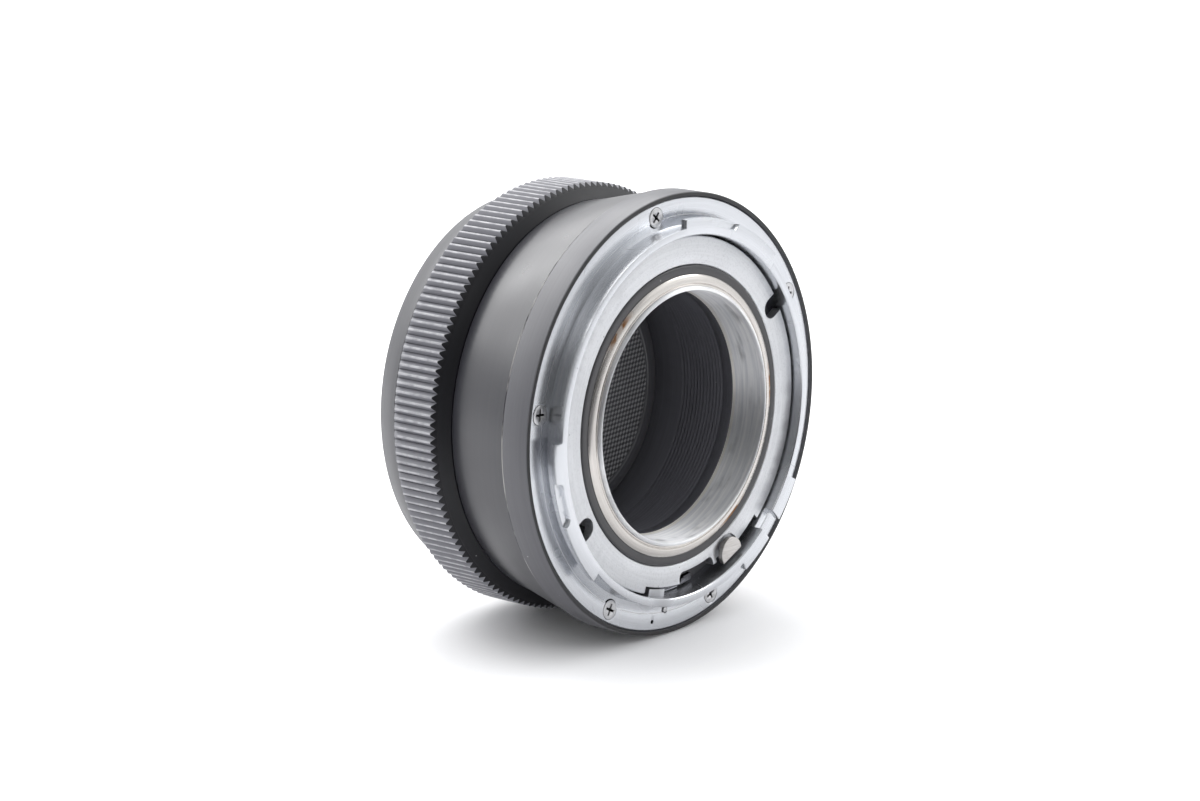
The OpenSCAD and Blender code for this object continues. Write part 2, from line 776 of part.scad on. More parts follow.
// Puts a screw that points to +Y on the outside of the drum, pointing to the axis
module drum_screw_place(a, y)
    at_angle(a, drum_r)
        translate([0, y, 0])
            rotate([0, 0, 90])
                children();

module drum_screws()
    color("dimgray")
        for (a = drum_screw_angles)
            for (y = [ring_back_y + ring_spigot_l / 2, driver_y - driver_spigot_l / 2])
                drum_screw_place(a, y)
                    cross_screw(drum_screw_head_r, drum_screw_head_h, drum_screw_r, drum_wall + 1.2);

module driver_ring()
    color("darkgray")
        difference() {
            turned([
                [driver_bore_r, driver_y - driver_spigot_l], [driver_spigot_r, driver_y - driver_spigot_l],
                [driver_spigot_r, driver_y], [driver_r - edge, driver_y], [driver_r, driver_y + edge],
                [driver_r, driver_end_y - edge], [driver_r - edge, driver_end_y], [driver_bore_r, driver_end_y]
            ]);
            for (a = slot_angles)
                at_angle(a, pin_circle_r)
                    post(pin_shank_r + fit_gap, driver_y - past, driver_end_y + past);
            for (a = drum_screw_angles)
                drum_screw_place(a, driver_y - driver_spigot_l / 2)
                    post(drum_screw_r + fit_gap, 0, drum_r - driver_bore_r + past);
        }

module drive_pins()
    color("silver")
        for (a = slot_angles)
            at_angle(a, pin_circle_r) {
                post(pin_shank_r, driver_y, driver_end_y + 0.1);
                post(pin_r, driver_end_y + fit_gap, extension + pin_reach - 0.5);
                cone(pin_r, pin_r - 0.5, extension + pin_reach - 0.5, extension + pin_reach);
            }

module lock_lever()
    color("slategray")
        difference() {
            union() {
                turned_arc(band(lever_r_in, lever_r_out, lever_y, lever_end_y), lever_span);
                turned_arc(band(lever_r_in, lever_r_out - 0.7, lever_tab_y, lever_end_y), lever_tab_span);
            }
            at_angle(lever_pivot_angle, lever_pivot_r)
                post(lever_screw_r + fit_gap, lever_y - past, lever_end_y + past);
        }

// Outline of the grip: a ring of V-shaped teeth
module grip_outline()
    polygon([
        for (i = [0:2 * knurl_teeth - 1])
            let (a = 180 * i / knurl_teeth, r = i % 2 == 0 ? tip_r : root_r)
            r * [cos(a), sin(a)]
    ]);

module breech_ring()
    color("#343438")
        difference() {
            intersection() {
                union() {
                    translate([0, knurl_y - past, 0])
                        rotate([-90, 0, 0])
                            linear_extrude(breech_end_y - knurl_y + past)
                                grip_outline();
                    turned(band(breech_bore_r - past, root_r - 0.05, breech_y, breech_end_y));
                }
                turned([
                    [breech_bore_r - past, breech_y], [breech_front_r, breech_y], [root_r - 0.15, knurl_y - 0.4],
                    [crest_r, knurl_y + 0.2], [crest_r, breech_end_y - 1.7], [root_r - 0.9, breech_end_y],
                    [breech_bore_r - past, breech_end_y]
                ]);
            }
            post(breech_bore_r, breech_y - past, lug_ring_y, round_faces);
            post(lug_ring_r + fit_gap, lug_ring_y - fit_gap, breech_end_y + past, round_faces);
            turned(band(breech_bore_r - past, journal_r + 0.95, snap_y - run_gap, snap_y + snap_t + run_gap));
            turned_arc(
                band(breech_bore_r - past, stop_groove_r, stop_screw_y - stop_screw_head_r - run_gap,
                    stop_screw_y + stop_screw_head_r + run_gap),
                [stop_screw_angle - 2.2, stop_screw_angle + breech_travel + 2.2]);
            for (a = lug_screw_angles)
                at_angle(a, lug_screw_circle_r)
                    post(lug_screw_r + fit_gap, breech_end_y - lug_screw_l - fit_gap, lug_ring_y);
            breech_dot_place()
                cylinder(r = dot_r + fit_gap, h = dot_t + past, $fn = small_faces);
        }

// Puts a disc on the ring's sloping front face, its axis square to the face
module breech_dot_place() {
    slope = atan2(knurl_y - 0.4 - breech_y, root_r - 0.15 - breech_front_r);
    at_angle(notch_angle, (root_r - 0.15 + breech_front_r) / 2)
        translate([0, (breech_y + knurl_y - 0.4) / 2, 0])
            rotate([0, 0, slope])
                rotate([90, 0, 0])
                    translate([0, 0, -dot_t])
                        children();
}

module breech_index_dot()
    color("crimson")
        breech_dot_place()
            translate([0, 0, fit_gap])
                cylinder(r = dot_r, h = dot_t - 2 * fit_gap, $fn = small_faces);

module lug_ring()
    color("silver")
        difference() {
            union() {
                turned(band(lug_ring_r_in, lug_ring_r, lug_ring_y, breech_end_y));
                for (c = breech_lug_centres)
                    turned_arc(band(breech_lug_r, lug_ring_r_in + edge, breech_lug_y, breech_end_y),
                        [c - breech_lug_span / 2, c + breech_lug_span / 2]);
            }
            for (a = lug_screw_angles)
                at_angle(a, lug_screw_circle_r)
                    translate([0, breech_end_y, 0])
                        mirror([0, 1, 0])
                            screw_hole(lug_screw_head_r, lug_screw_head_h, lug_screw_r,
                                breech_end_y - lug_ring_y + past);
        }

module lug_ring_screws()
    color("dimgray")
        for (a = lug_screw_angles)
            at_angle(a, lug_screw_circle_r)
                translate([0, breech_end_y, 0])
                    mirror([0, 1, 0])
                        cross_screw(lug_screw_head_r, lug_screw_head_h, lug_screw_r, lug_screw_l);

module rear_cap()
    color("#4a4a4d")
        union() {
            translate([0, cap_y, 0])
                bayonet(cap_end_y - cap_wall - cap_y + edge, cap_bore_r);
            turned([
                [0, cap_floor_y], [dish_face_r, cap_floor_y], [dish_face_r + 0.25, cap_floor_y - 0.25],
                [dish_face_r + 1.75, cap_floor_y - 0.25], [dish_r - 0.7, cap_floor_y],
                [dish_r, cap_floor_y + 0.7], [dish_root_r, extension + spigot_h],
                [dish_root_r + 0.4, cap_end_y - cap_wall],
                [cap_skirt_r - skirt_taper - cap_wall, cap_end_y - cap_wall],
                [cap_skirt_r - cap_wall + 0.2, cap_skirt_y], [cap_skirt_r - 0.2, cap_skirt_y],
                [cap_skirt_r, cap_skirt_y + 0.2], [cap_skirt_r - skirt_taper, cap_end_y - 0.4],
                [cap_skirt_r - skirt_taper - 0.4, cap_end_y], [dish_root_r + 0.4 - cap_wall, cap_end_y],
                [dish_r - cap_wall, cap_floor_y + cap_wall + 0.7], [dish_r - cap_wall - 0.7, cap_floor_y + cap_wall],
                [0, cap_floor_y + cap_wall]
            ]);
        }

lens_flange();
flange_screws();
flange_dowel();
flange_housing();
main_barrel();
throat_tube();
throat_bezel();
ring_retainer();
baffle_tube();
drum_bush();
seat_plate();
seat_screws();
locating_key();
snap_ring();
breech_stop_screw();
lever_pivot_screw();
lever_spring();
housing_index_dot();
cocking_ring();
drum();
drum_screws();
driver_ring();
drive_pins();
lock_plunger();
plunger_clip();
plunger_spring();
lock_lever();
breech_ring();
lug_ring();
lug_ring_screws();
breech_index_dot();
rear_cap();
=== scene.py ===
# Looks for a medium-format extension tube that lies on its side with its rear cap on.
# The optical axis is Y, with the lens seat at y = 0 and the camera seat at y = 45 mm. Sizes are in mm.
import math

import bpy
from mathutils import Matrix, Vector


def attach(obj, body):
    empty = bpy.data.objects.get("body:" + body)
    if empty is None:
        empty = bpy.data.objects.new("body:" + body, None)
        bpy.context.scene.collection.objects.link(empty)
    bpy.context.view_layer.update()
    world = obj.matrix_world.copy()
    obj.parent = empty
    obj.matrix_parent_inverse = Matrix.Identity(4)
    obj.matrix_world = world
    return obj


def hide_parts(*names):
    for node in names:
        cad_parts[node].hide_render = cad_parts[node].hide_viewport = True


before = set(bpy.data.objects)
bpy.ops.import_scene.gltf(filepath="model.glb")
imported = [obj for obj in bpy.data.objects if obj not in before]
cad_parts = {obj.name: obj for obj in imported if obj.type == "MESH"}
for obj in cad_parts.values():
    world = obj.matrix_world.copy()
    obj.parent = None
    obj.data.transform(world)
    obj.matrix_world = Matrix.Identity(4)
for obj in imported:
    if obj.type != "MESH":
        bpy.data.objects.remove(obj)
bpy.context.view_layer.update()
MM = 0.001

# Camera. It stands where the photographer stood, above the lens side and to its left.
# Its place and lens come from the circles of the object, the size of which is known.
camera_place = (-0.6757, -0.5508, 0.2061)
camera_aim = Vector((0.74004, 0.63354, -0.22576))
focal_length, sensor_width = 113.8, 36
camera_data = bpy.data.cameras.new("camera")
camera = bpy.data.objects.new("camera", camera_data)
bpy.context.collection.objects.link(camera)
camera_data.sensor_width = sensor_width
camera_data.lens = focal_length
camera_data.clip_start = 0.05
camera_data.clip_end = 20
camera.location = camera_place
camera.rotation_euler = camera_aim.to_track_quat("-Z", "Y").to_euler()
bpy.context.scene.camera = camera
bpy.context.scene.view_settings.view_transform = "Standard"

# Table. A sheet of white paper that keeps the soft shadow of the tube.
# Away from the tube the camera sees it glow faintly, so that it fades into the white behind it.
# The glow is held back round a point beside the tube's foot, which paints a darker shadow there on top of the
# real one.
table_z, table_size = -53.4, 6
painted_shadow_centre, glow_start, glow_end, full_glow = (-0.012, 0.03, 0), 0.018, 0.075, 0.38
paper_shade, paper_white = (0.77, 0.77, 0.78, 1), (0.80, 0.80, 0.81, 1)


def add(tree, kind, inputs=None, **settings):
    """A new node of this kind. Each input is set to a value or joined to another node's output."""
    new = tree.nodes.new("ShaderNode" + kind)
    for name, value in settings.items():
        setattr(new, name, value)
    for name, value in (inputs or {}).items():
        if isinstance(value, bpy.types.NodeSocket):
            tree.links.new(value, new.inputs[name])
        else:
            new.inputs[name].default_value = value
    return new


def here(tree):
    """The place of each point of the surface, in metres."""
    return add(tree, "TexCoord").outputs["Object"]


def maths(tree, operation, *numbers):
    """The answer of a Math node."""
    return add(tree, "Math", dict(enumerate(numbers)), operation=operation).outputs[0]


def times(tree, first, second):
    return maths(tree, "MULTIPLY", first, second)


def measure(tree, operation, *vectors):
    """The number that a Vector Math node works out, such as a distance."""
    return add(tree, "VectorMath", dict(enumerate(vectors)), operation=operation).outputs["Value"]


def graded(tree, value, low, high, at_low=0.0, at_high=1.0):
    """A value that runs from at_low to at_high while the given one runs from low to high."""
    return add(tree, "MapRange", {0: value, 1: low, 2: high, 3: at_low, 4: at_high}).outputs[0]


def mixed(tree, share, first, second):
    """One value or colour turning into another as the share goes from 0 to 1."""
    colours = isinstance(first, tuple) or isinstance(second, tuple)
    if colours or (isinstance(first, bpy.types.NodeSocket) and first.type == "RGBA"):
        return add(tree, "MixRGB", {0: share, 1: first, 2: second}).outputs[0]
    return add(tree, "Mix", {0: share, 2: first, 3: second}).outputs[0]


def seen_directly(tree):
    """1 for what the camera sees itself or through glass, and 0 for what lights or mirrors in the object."""
    path = add(tree, "LightPath")
    return maths(tree, "MAXIMUM", path.outputs["Is Camera Ray"], path.outputs["Is Transmission Ray"])


def new_material(name):
    """A new material that is made of nodes."""
    material = bpy.data.materials.new(name)
    material.use_nodes = True
    return material


def inside(material):
    """A material's node tree and its shader."""
    return material.node_tree, material.node_tree.nodes["Principled BSDF"]


def coat(tree, shader, colour, roughness):
    """Gives a shader a colour and a roughness that change over the surface."""
    tree.links.new(colour, shader.inputs["Base Color"])
    tree.links.new(roughness, shader.inputs["Roughness"])


bpy.ops.object.select_all(action="DESELECT")
bpy.ops.mesh.primitive_plane_add(size=table_size, location=(0, 0, table_z * MM))
table = bpy.context.object
table.name = "table"
paper = new_material("white_paper")
tree, shader = inside(paper)
fibres = add(tree, "TexNoise", {"Vector": here(tree), "Scale": 900.0, "Detail": 2.0}).outputs[0]
coat(tree, shader, mixed(tree, fibres, paper_shade, paper_white), graded(tree, fibres, 0.3, 0.7, 0.6, 0.75))
shader.inputs["Specular IOR Level"].default_value = 0.2
# Painted shadow: the paper does not glow near this point beside the tube, so it stays dark there.
from_painted_shadow = measure(tree, "DISTANCE", here(tree), painted_shadow_centre)
glow = times(tree, seen_directly(tree), graded(tree, from_painted_shadow, glow_start, glow_end, 0.0, full_glow))
shader.inputs["Emission Color"].default_value = (1, 1, 1, 1)
tree.links.new(glow, shader.inputs["Emission Strength"])
table.data.materials.append(paper)

# Grey card. It lies on the table in front of the tube and shows only in the metal,
# where it makes the dark parts of the flange and of the black paint.
card_place, card_turn, card_size = (-0.655, -0.56, (table_z + 2) * MM), math.radians(42.5), (1.45, 2.6, 1)
felt_dark, felt_grey = (0.09, 0.09, 0.10, 1), (0.12, 0.12, 0.13, 1)
bpy.ops.mesh.primitive_plane_add(size=1, location=card_place, rotation=(0, 0, card_turn))
card = bpy.context.object
card.name = "grey_card"
card.scale = card_size
bpy.ops.object.transform_apply(location=True, rotation=True, scale=True)
card.visible_camera = False
card.visible_diffuse = False
card.visible_shadow = False
card.visible_transmission = False
felt = new_material("grey_card")
tree, shader = inside(felt)
nap = add(tree, "TexNoise", {"Vector": here(tree), "Scale": 300.0}).outputs[0]
tree.links.new(mixed(tree, nap, felt_dark, felt_grey), shader.inputs["Base Color"])
shader.inputs["Roughness"].default_value = 0.9
card.data.materials.append(felt)

# Light tent. White cloth all round gives even light. In front of it, where the camera stands, is a dark room,
# which shows only in what shines. The camera sees pure white behind the object.
tent_white, even_light = (0.98, 0.99, 1, 1), 0.9
to_room, tent_shine, room_shine = (-0.58, -0.81, 0.05), 1.1, 0.14
world = bpy.data.worlds.new("light_tent")
bpy.context.scene.world = world
world.use_nodes = True
tree = world.node_tree
tree.nodes.clear()
heading = add(tree, "TexCoord").outputs["Generated"]
room = graded(tree, measure(tree, "DOT_PRODUCT", heading, to_room), 0.0, 0.80, tent_shine, room_shine)
mirrored = add(tree, "LightPath").outputs["Is Glossy Ray"]
strength = mixed(tree, seen_directly(tree), mixed(tree, mirrored, even_light, room), 1.0)
cloth = add(tree, "Background", {"Color": tent_white, "Strength": strength})
add(tree, "OutputWorld", {"Surface": cloth.outputs[0]})


# Lamps. Soft boxes that face the tube: a strong one above and behind, a weaker one at the left,
# and three weak ones that lift the right side and the front.
def lamp(name, place, width, height, power):
    """A soft box that faces the middle of the tube."""
    light = bpy.data.lights.new(name, "AREA")
    light.shape = "RECTANGLE"
    light.size = width
    light.size_y = height
    light.energy = power
    holder = bpy.data.objects.new(name, light)
    bpy.context.collection.objects.link(holder)
    holder.location = place
    holder.rotation_euler = (Vector((0, 0.02, 0)) - Vector(place)).to_track_quat("-Z", "Y").to_euler()


lamp("lamp_above_behind", (0.22, 0.60, 0.87), 1.1, 0.9, 10.0)
lamp("lamp_left", (-0.42, 0.80, 0.68), 0.9, 0.8, 4.8)
lamp("lamp_right", (0.90, -0.77, 0.50), 0.7, 0.6, 0.6)
lamp("lamp_front", (-0.45, -0.80, 0.80), 0.6, 0.6, 0.8)
lamp("lamp_above_right", (1.00, -0.40, 0.82), 0.5, 0.5, 2.5)

# Throat tube. The grey metal tube that light passes, turned from aluminium and left bare,
# with a bright lip in front, a painted highlight along the corner behind, and dirt in the tool marks between
# them.
tube_section = [
    (30.25, 1.0), (30.75, 1.0), (31.1, 1.35), (31.1, 4.5), (33.85, 4.5), (33.85, 8.3),
    (32.0, 8.3), (32.0, 10.4), (29.5, 10.4), (29.85, 9.75), (30.15, 1.6),
]
corner_highlight_start, corner_highlight_end = 9.68, 9.78
bare_grey, dirt_grey, corner_highlight_white = (0.90, 0.91, 0.94), (0.25, 0.25, 0.26), (0.95, 0.93, 0.88)


def turn(name, section, faces=256):
    """A ring turned about the optical axis, from the (radius, y) corners of its section."""
    bpy.ops.object.select_all(action="DESELECT")
    radius, y = section[0]
    bpy.ops.mesh.primitive_circle_add(vertices=faces, radius=radius * MM, rotation=(math.pi / 2, 0, 0))
    piece = bpy.context.object
    piece.name = name
    piece.location = (0, y * MM, 0)
    bpy.ops.object.transform_apply(location=True, rotation=True, scale=True)
    bpy.ops.object.mode_set(mode="EDIT")
    bpy.ops.mesh.select_mode(type="EDGE")
    bpy.ops.mesh.select_all(action="SELECT")
    for next_radius, next_y in section[1:] + section[:1]:
        bpy.ops.mesh.extrude_region_move(TRANSFORM_OT_translate={"value": (0, (next_y - y) * MM, 0)})
        growth = next_radius / radius
        bpy.ops.transform.resize(value=(growth, 1, growth), center_override=(0, 0, 0))
        radius, y = next_radius, next_y
    bpy.ops.mesh.select_all(action="SELECT")
    bpy.ops.mesh.remove_doubles(threshold=0.005 * MM)
    bpy.ops.mesh.normals_make_consistent(inside=False)
    bpy.ops.object.mode_set(mode="OBJECT")
    return piece


def select_only(piece):
    bpy.ops.object.select_all(action="DESELECT")
    piece.select_set(True)
    bpy.context.view_layer.objects.active = piece


def soften(piece, width, steps=2):
    """Rounds the sharp edges of a piece, as far as its shortest edge has room, and shades it smooth."""
    select_only(piece)
    bevel = piece.modifiers.new("edges", "BEVEL")
    bevel.width = width * MM
    bevel.segments = steps
    bevel.limit_method = "ANGLE"
    bevel.angle_limit = math.radians(32)
    bpy.ops.object.modifier_apply(modifier=bevel.name)
    bpy.ops.object.shade_smooth_by_angle(angle=math.radians(35))


def along_axis(tree):
    """How far along the optical axis a point lies."""
    return add(tree, "SeparateXYZ", {0: here(tree)}).outputs["Y"]


def vector_maths(tree, operation, *vectors):
    """The vector that a Vector Math node works out."""
    return add(tree, "VectorMath", dict(enumerate(vectors)), operation=operation).outputs["Vector"]


def across_axis(tree):
    """The place of a point, with its way along the optical axis left out."""
    return vector_maths(tree, "MULTIPLY", here(tree), (1, 0, 1))


def from_axis(tree):
    """A point's distance from the optical axis."""
    return measure(tree, "LENGTH", across_axis(tree))


def round_axis(tree, round_scale, fine_scale):
    """Noise drawn out round the optical axis, as a cutting tool leaves it."""
    heading = vector_maths(tree, "NORMALIZE", across_axis(tree))
    turned = vector_maths(tree, "MULTIPLY", heading, (round_scale, 0, round_scale))
    height = vector_maths(tree, "MULTIPLY", here(tree), (0, fine_scale, 0))
    vector = vector_maths(tree, "ADD", turned, height)
    step = times(tree, from_axis(tree), fine_scale)
    return add(tree, "TexNoise", {"Vector": vector, "W": step, "Scale": 1.0, "Detail": 3.0},
               noise_dimensions="4D").outputs[0]


def cloudy(tree, scale, detail=3.0):
    """Plain noise, with this many patches to a metre."""
    return add(tree, "TexNoise", {"Vector": here(tree), "Scale": scale, "Detail": detail}).outputs[0]


def lay_over(tree, shader, mask, colour, roughness):
    """Lays a colour and a roughness over those that the shader has, where the mask is 1."""
    for name, value in (("Base Color", (*colour, 1)), ("Roughness", roughness)):
        socket = shader.inputs[name]
        below = socket.links[0].from_socket if socket.is_linked else tuple(socket.default_value)
        tree.links.new(mixed(tree, mask, below, value), socket)


def emboss(tree, shader, marks, strength, depth):
    """Raises marks from the surface."""
    bump = add(tree, "Bump", {"Height": marks, "Strength": strength, "Distance": depth * MM})
    tree.links.new(bump.outputs[0], shader.inputs["Normal"])


def turned_metal(name, colour, roughness, marks=2500.0, contrast=0.12, stretch=0.6, relief=0.01, stain=0.35):
    """Metal with the fine rings of a lathe, which darken it a little and draw its highlights out."""
    material = new_material(name)
    tree, shader = inside(material)
    rings = round_axis(tree, 2.0, marks)
    stains = cloudy(tree, 70.0)
    dark = tuple(c * (1 - contrast) for c in colour)
    light = tuple(min(1.0, c * (1 + contrast)) for c in colour)
    tone = mixed(tree, graded(tree, rings, 0.35, 0.65), (*dark, 1), (*light, 1))
    tone = mixed(tree, graded(tree, stains, 0.45, 0.75, 0.0, stain), tone, (*dark, 1))
    coat(tree, shader, tone, graded(tree, stains, 0.3, 0.7, roughness - 0.1 * stain, roughness + 0.2 * stain))
    emboss(tree, shader, rings, 0.35, relief)
    tangent = add(tree, "Tangent", direction_type="RADIAL", axis="Y")
    tree.links.new(tangent.outputs[0], shader.inputs["Tangent"])
    shader.inputs["Metallic"].default_value = 1.0
    shader.inputs["Anisotropic"].default_value = stretch
    shader.inputs["Anisotropic Rotation"].default_value = 0.25
    return material


def fit(piece, material, body, slot, *nodes):
    """Gives a finished piece its material and the body that it moves with, and hides the nodes that it stands
    for.
    """
    piece.data.materials.clear()
    piece.data.materials.append(material)
    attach(piece, body)
    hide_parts(*nodes)


throat_tube = turn("throat_lining", tube_section)
soften(throat_tube, 0.08)
bare_tube = turned_metal("bare_tube", bare_grey, 0.55, marks=1500.0, stretch=0.85)
tree, shader = inside(bare_tube)
dirty_rings = graded(tree, round_axis(tree, 3.0, 450.0), 0.5, 0.68)
dirt = times(tree, dirty_rings, graded(tree, cloudy(tree, 160.0), 0.4, 0.6))
lay_over(tree, shader, times(tree, dirt, 0.5), dirt_grey, 0.6)
# Painted highlight: a thin near-white band round the corner behind.
corner = graded(tree, along_axis(tree), corner_highlight_start * MM, corner_highlight_end * MM)
lay_over(tree, shader, corner, corner_highlight_white, 0.45)
fit(throat_tube, bare_tube, "tube", "tube_metal", "throat_tube")

# Throat bezel. The nickel-plated ring pressed round the throat's lip, with a fine groove in its face.
# Rust has come through the plating in three places.
bezel_section = [
    (31.15, 1.65), (31.55, 1.65), (31.65, 1.9), (31.8, 1.9), (31.9, 1.65), (33.35, 1.9),
    (33.85, 2.2), (33.85, 4.45), (31.15, 4.45),
]
rust_angles, rust_inner, rust_outer, rust_y, rust_reach = [4, 134, 306], 32.7, 33.2, 2.0, 6.5
nickel_grey, rust_brown = (0.66, 0.63, 0.60), (0.36, 0.17, 0.06)


def spot(tree, centre, radius):
    """A soft round spot about a point, 1 in its middle."""
    away = measure(tree, "DISTANCE", here(tree), centre)
    return graded(tree, away, 0.3 * radius * MM, radius * MM, 1.0, 0.0)


def at(radius, y, angle):
    """A point at an angle round the optical axis, anticlockwise from +X as the lens side is seen."""
    turn_by = math.radians(angle)
    return Vector((radius * math.cos(turn_by), y, radius * math.sin(turn_by))) * MM


bezel = turn("throat_bezel_ring", bezel_section)
soften(bezel, 0.05)
nickel = turned_metal("nickel_plate", nickel_grey, 0.20, contrast=0.08, stretch=0.85)
tree, shader = inside(nickel)
rim = graded(tree, from_axis(tree), rust_inner * MM, rust_outer * MM)
for angle in rust_angles:
    patch = times(tree, rim, spot(tree, at(rust_outer, rust_y, angle), rust_reach))
    crust = times(tree, patch, graded(tree, round_axis(tree, 12.0, 900.0), 0.40, 0.54, 0.25, 1.0))
    lay_over(tree, shader, crust, rust_brown, 0.75)
fit(bezel, nickel, "tube", "nickel", "throat_bezel")

# Retaining ring. A black steel ring screwed on behind the bezel; its flange holds the cocking ring in.
# It is blackened, and a little dust lies on it.
retainer_section = [
    (33.9, 2.3), (35.75, 2.3), (36.0, 2.55), (36.0, 3.3), (34.95, 3.3), (34.95, 7.9), (33.9, 7.9),
]
blackened_grey, dust_grey = (0.055, 0.054, 0.058), (0.5, 0.5, 0.5)


def specks(tree, scale, share, sharp, soft):
    """Small round specks at random, in this share of a pattern's cells, with this many cells to a metre."""
    cells = add(tree, "TexVoronoi", {"Vector": here(tree), "Scale": scale})
    chosen = add(tree, "SeparateColor", {0: cells.outputs["Color"]}).outputs[0]
    return times(tree, graded(tree, cells.outputs["Distance"], sharp, soft, 1.0, 0.0),
                 graded(tree, chosen, 1 - share, 1.01 - share))


def black_finish(name, colour, roughness, dust=0.12, gloss=1.5):
    """Black paint or anodising over tool marks, with specks of dust."""
    material = new_material(name)
    tree, shader = inside(material)
    rings = round_axis(tree, 1.5, 1800.0)
    patches = cloudy(tree, 55.0)
    deep = tuple(c * 0.8 for c in colour)
    tone = mixed(tree, graded(tree, rings, 0.3, 0.7), (*deep, 1), (*colour, 1))
    coat(tree, shader, tone, graded(tree, patches, 0.3, 0.7, roughness - 0.04, roughness + 0.06))
    lay_over(tree, shader, times(tree, specks(tree, 260.0, dust, 0.035, 0.065), 0.6), dust_grey, 0.8)
    emboss(tree, shader, rings, 0.25, 0.01)
    shader.inputs["IOR"].default_value = gloss
    return material


retainer = turn("retaining_ring", retainer_section)
soften(retainer, 0.06)
fit(retainer, black_finish("blackened_ring", blackened_grey, 0.38), "tube", "matte_black", "ring_retainer")

# Baffle tube. It widens towards the camera, and fine grooves cut round it keep stray light down.
# It is aluminium, anodised matt black.
groove_start, groove_pitch, groove_depth, grooves = 13.4, 1.1, 0.3, 13
flare_start, flare_end, narrow, wide = 10.45, 34.8, 29.5, 31.9
baffle_black = (0.10, 0.10, 0.115)


def baffle_radius(y):
    return narrow + (wide - narrow) * (y - flare_start) / (flare_end - flare_start)


baffle_section = [
    (32.05, 8.45), (34.4, 8.45), (34.4, 41.95), (33.95, 41.95), (33.95, 47.0),
    (32.15, 47.0), (31.9, 46.75), (wide, flare_end),
]
for i in range(grooves, 0, -1):
    rib = groove_start + i * groove_pitch
    baffle_section.append((baffle_radius(rib), rib))
    baffle_section.append((baffle_radius(rib) + groove_depth, rib - groove_pitch / 2))
baffle_section += [(baffle_radius(groove_start), groove_start), (narrow, flare_start), (32.05, flare_start)]
baffle = turn("grooved_baffle", baffle_section)
soften(baffle, 0.05, steps=1)
fit(baffle, black_finish("matt_black_baffle", baffle_black, 0.5), "tube", "matte_black", "baffle_tube")

# Cocking ring. The silver ring that a lens turns through two slots, milled from aluminium plate and blasted,
# so it is finely speckled. A stepped recess in its rim clears the flange's stop and shows the lock lever.
ring_section = [
    (36.35, 2.5), (42.65, 2.5), (42.9, 2.75), (42.9, 4.9), (38.05, 4.9), (38.05, 8.9),
    (36.45, 8.9), (36.45, 4.9), (35.0, 4.9), (35.0, 3.5), (36.1, 3.5), (36.1, 2.75),
]
slot_angles, pin_circle, slot_radius = [31, 211], 40.1, 2.55
recess_floor, recess = 41.15, (252, 313.8)
deep_floor, deep_recess, deep_corner = 38.45, (269.7, 288), 1.3
button_angle, button_circle, button_seat, button_seat_y = 296, 41.0, 4.4, 3.7
# Cutting tools reach past the ring on every side. One that only touches a wall leaves a hole in the mesh,
# so the round ones in a corner are a hair smaller than the corner.
in_front, behind_plate, behind_ring, outside, hair = 1, 6, 10, 44, 0.04
# Blender cuts shapes in a changing order. Sorting by the distance from an odd place, from which no two points
# are equally far, makes each run give the same mesh.
sorting_place = (0.113, 0.071, 0.157)
ring_grey, grain_grey, pit_grey = (0.69, 0.70, 0.72), (0.55, 0.56, 0.58), (0.16, 0.16, 0.17)


def peg(start, end, radius, end_radius=None, faces=32):
    """A round peg or a cone from one point to another."""
    bpy.ops.object.select_all(action="DESELECT")
    run = end - start
    bpy.ops.mesh.primitive_cone_add(
        vertices=faces, radius1=radius * MM, radius2=(radius if end_radius is None else end_radius) * MM,
        depth=run.length, location=(start + end) / 2, rotation=run.to_track_quat("Z", "Y").to_euler())
    bpy.ops.object.transform_apply(location=True, rotation=True, scale=True)
    return bpy.context.object


def drill(circle, angle, front, back, radius, end_radius=None, faces=32):
    """A peg along the optical axis, at a place on a circle round it."""
    return peg(at(circle, front, angle), at(circle, back, angle), radius, end_radius, faces)


def block(inner, outer, front, back, width, angle):
    """A square block that points outwards at an angle."""
    bpy.ops.object.select_all(action="DESELECT")
    bpy.ops.mesh.primitive_cube_add(size=MM, location=at((inner + outer) / 2, (front + back) / 2, angle))
    piece = bpy.context.object
    piece.scale = (outer - inner, back - front, width)
    piece.rotation_euler = (0, -math.radians(angle), 0)
    bpy.ops.object.transform_apply(location=True, rotation=True, scale=True)
    return piece


def sector(inner, outer, front, back, span):
    """A curved block from one angle to another."""
    bpy.ops.object.select_all(action="DESELECT")
    middle = ((inner + outer) / 2 * MM, (front + back) / 2 * MM, 0)
    bpy.ops.mesh.primitive_plane_add(size=MM, location=middle)
    piece = bpy.context.object
    bpy.ops.object.transform_apply(location=True, rotation=True, scale=True)
    bpy.ops.object.mode_set(mode="EDIT")
    bpy.ops.mesh.select_all(action="SELECT")
    bpy.ops.transform.resize(value=(outer - inner, back - front, 1), center_override=middle)
    bpy.ops.mesh.spin(steps=max(4, round(span[1] - span[0])), angle=math.radians(span[1] - span[0]),
                      center=(0, 0, 0), axis=(0, 1, 0))
    bpy.ops.mesh.select_all(action="SELECT")
    bpy.ops.mesh.normals_make_consistent(inside=False)
    bpy.ops.object.mode_set(mode="OBJECT")
    piece.rotation_euler = (0, -math.radians(span[0]), 0)
    bpy.ops.object.transform_apply(location=True, rotation=True, scale=True)
    return piece


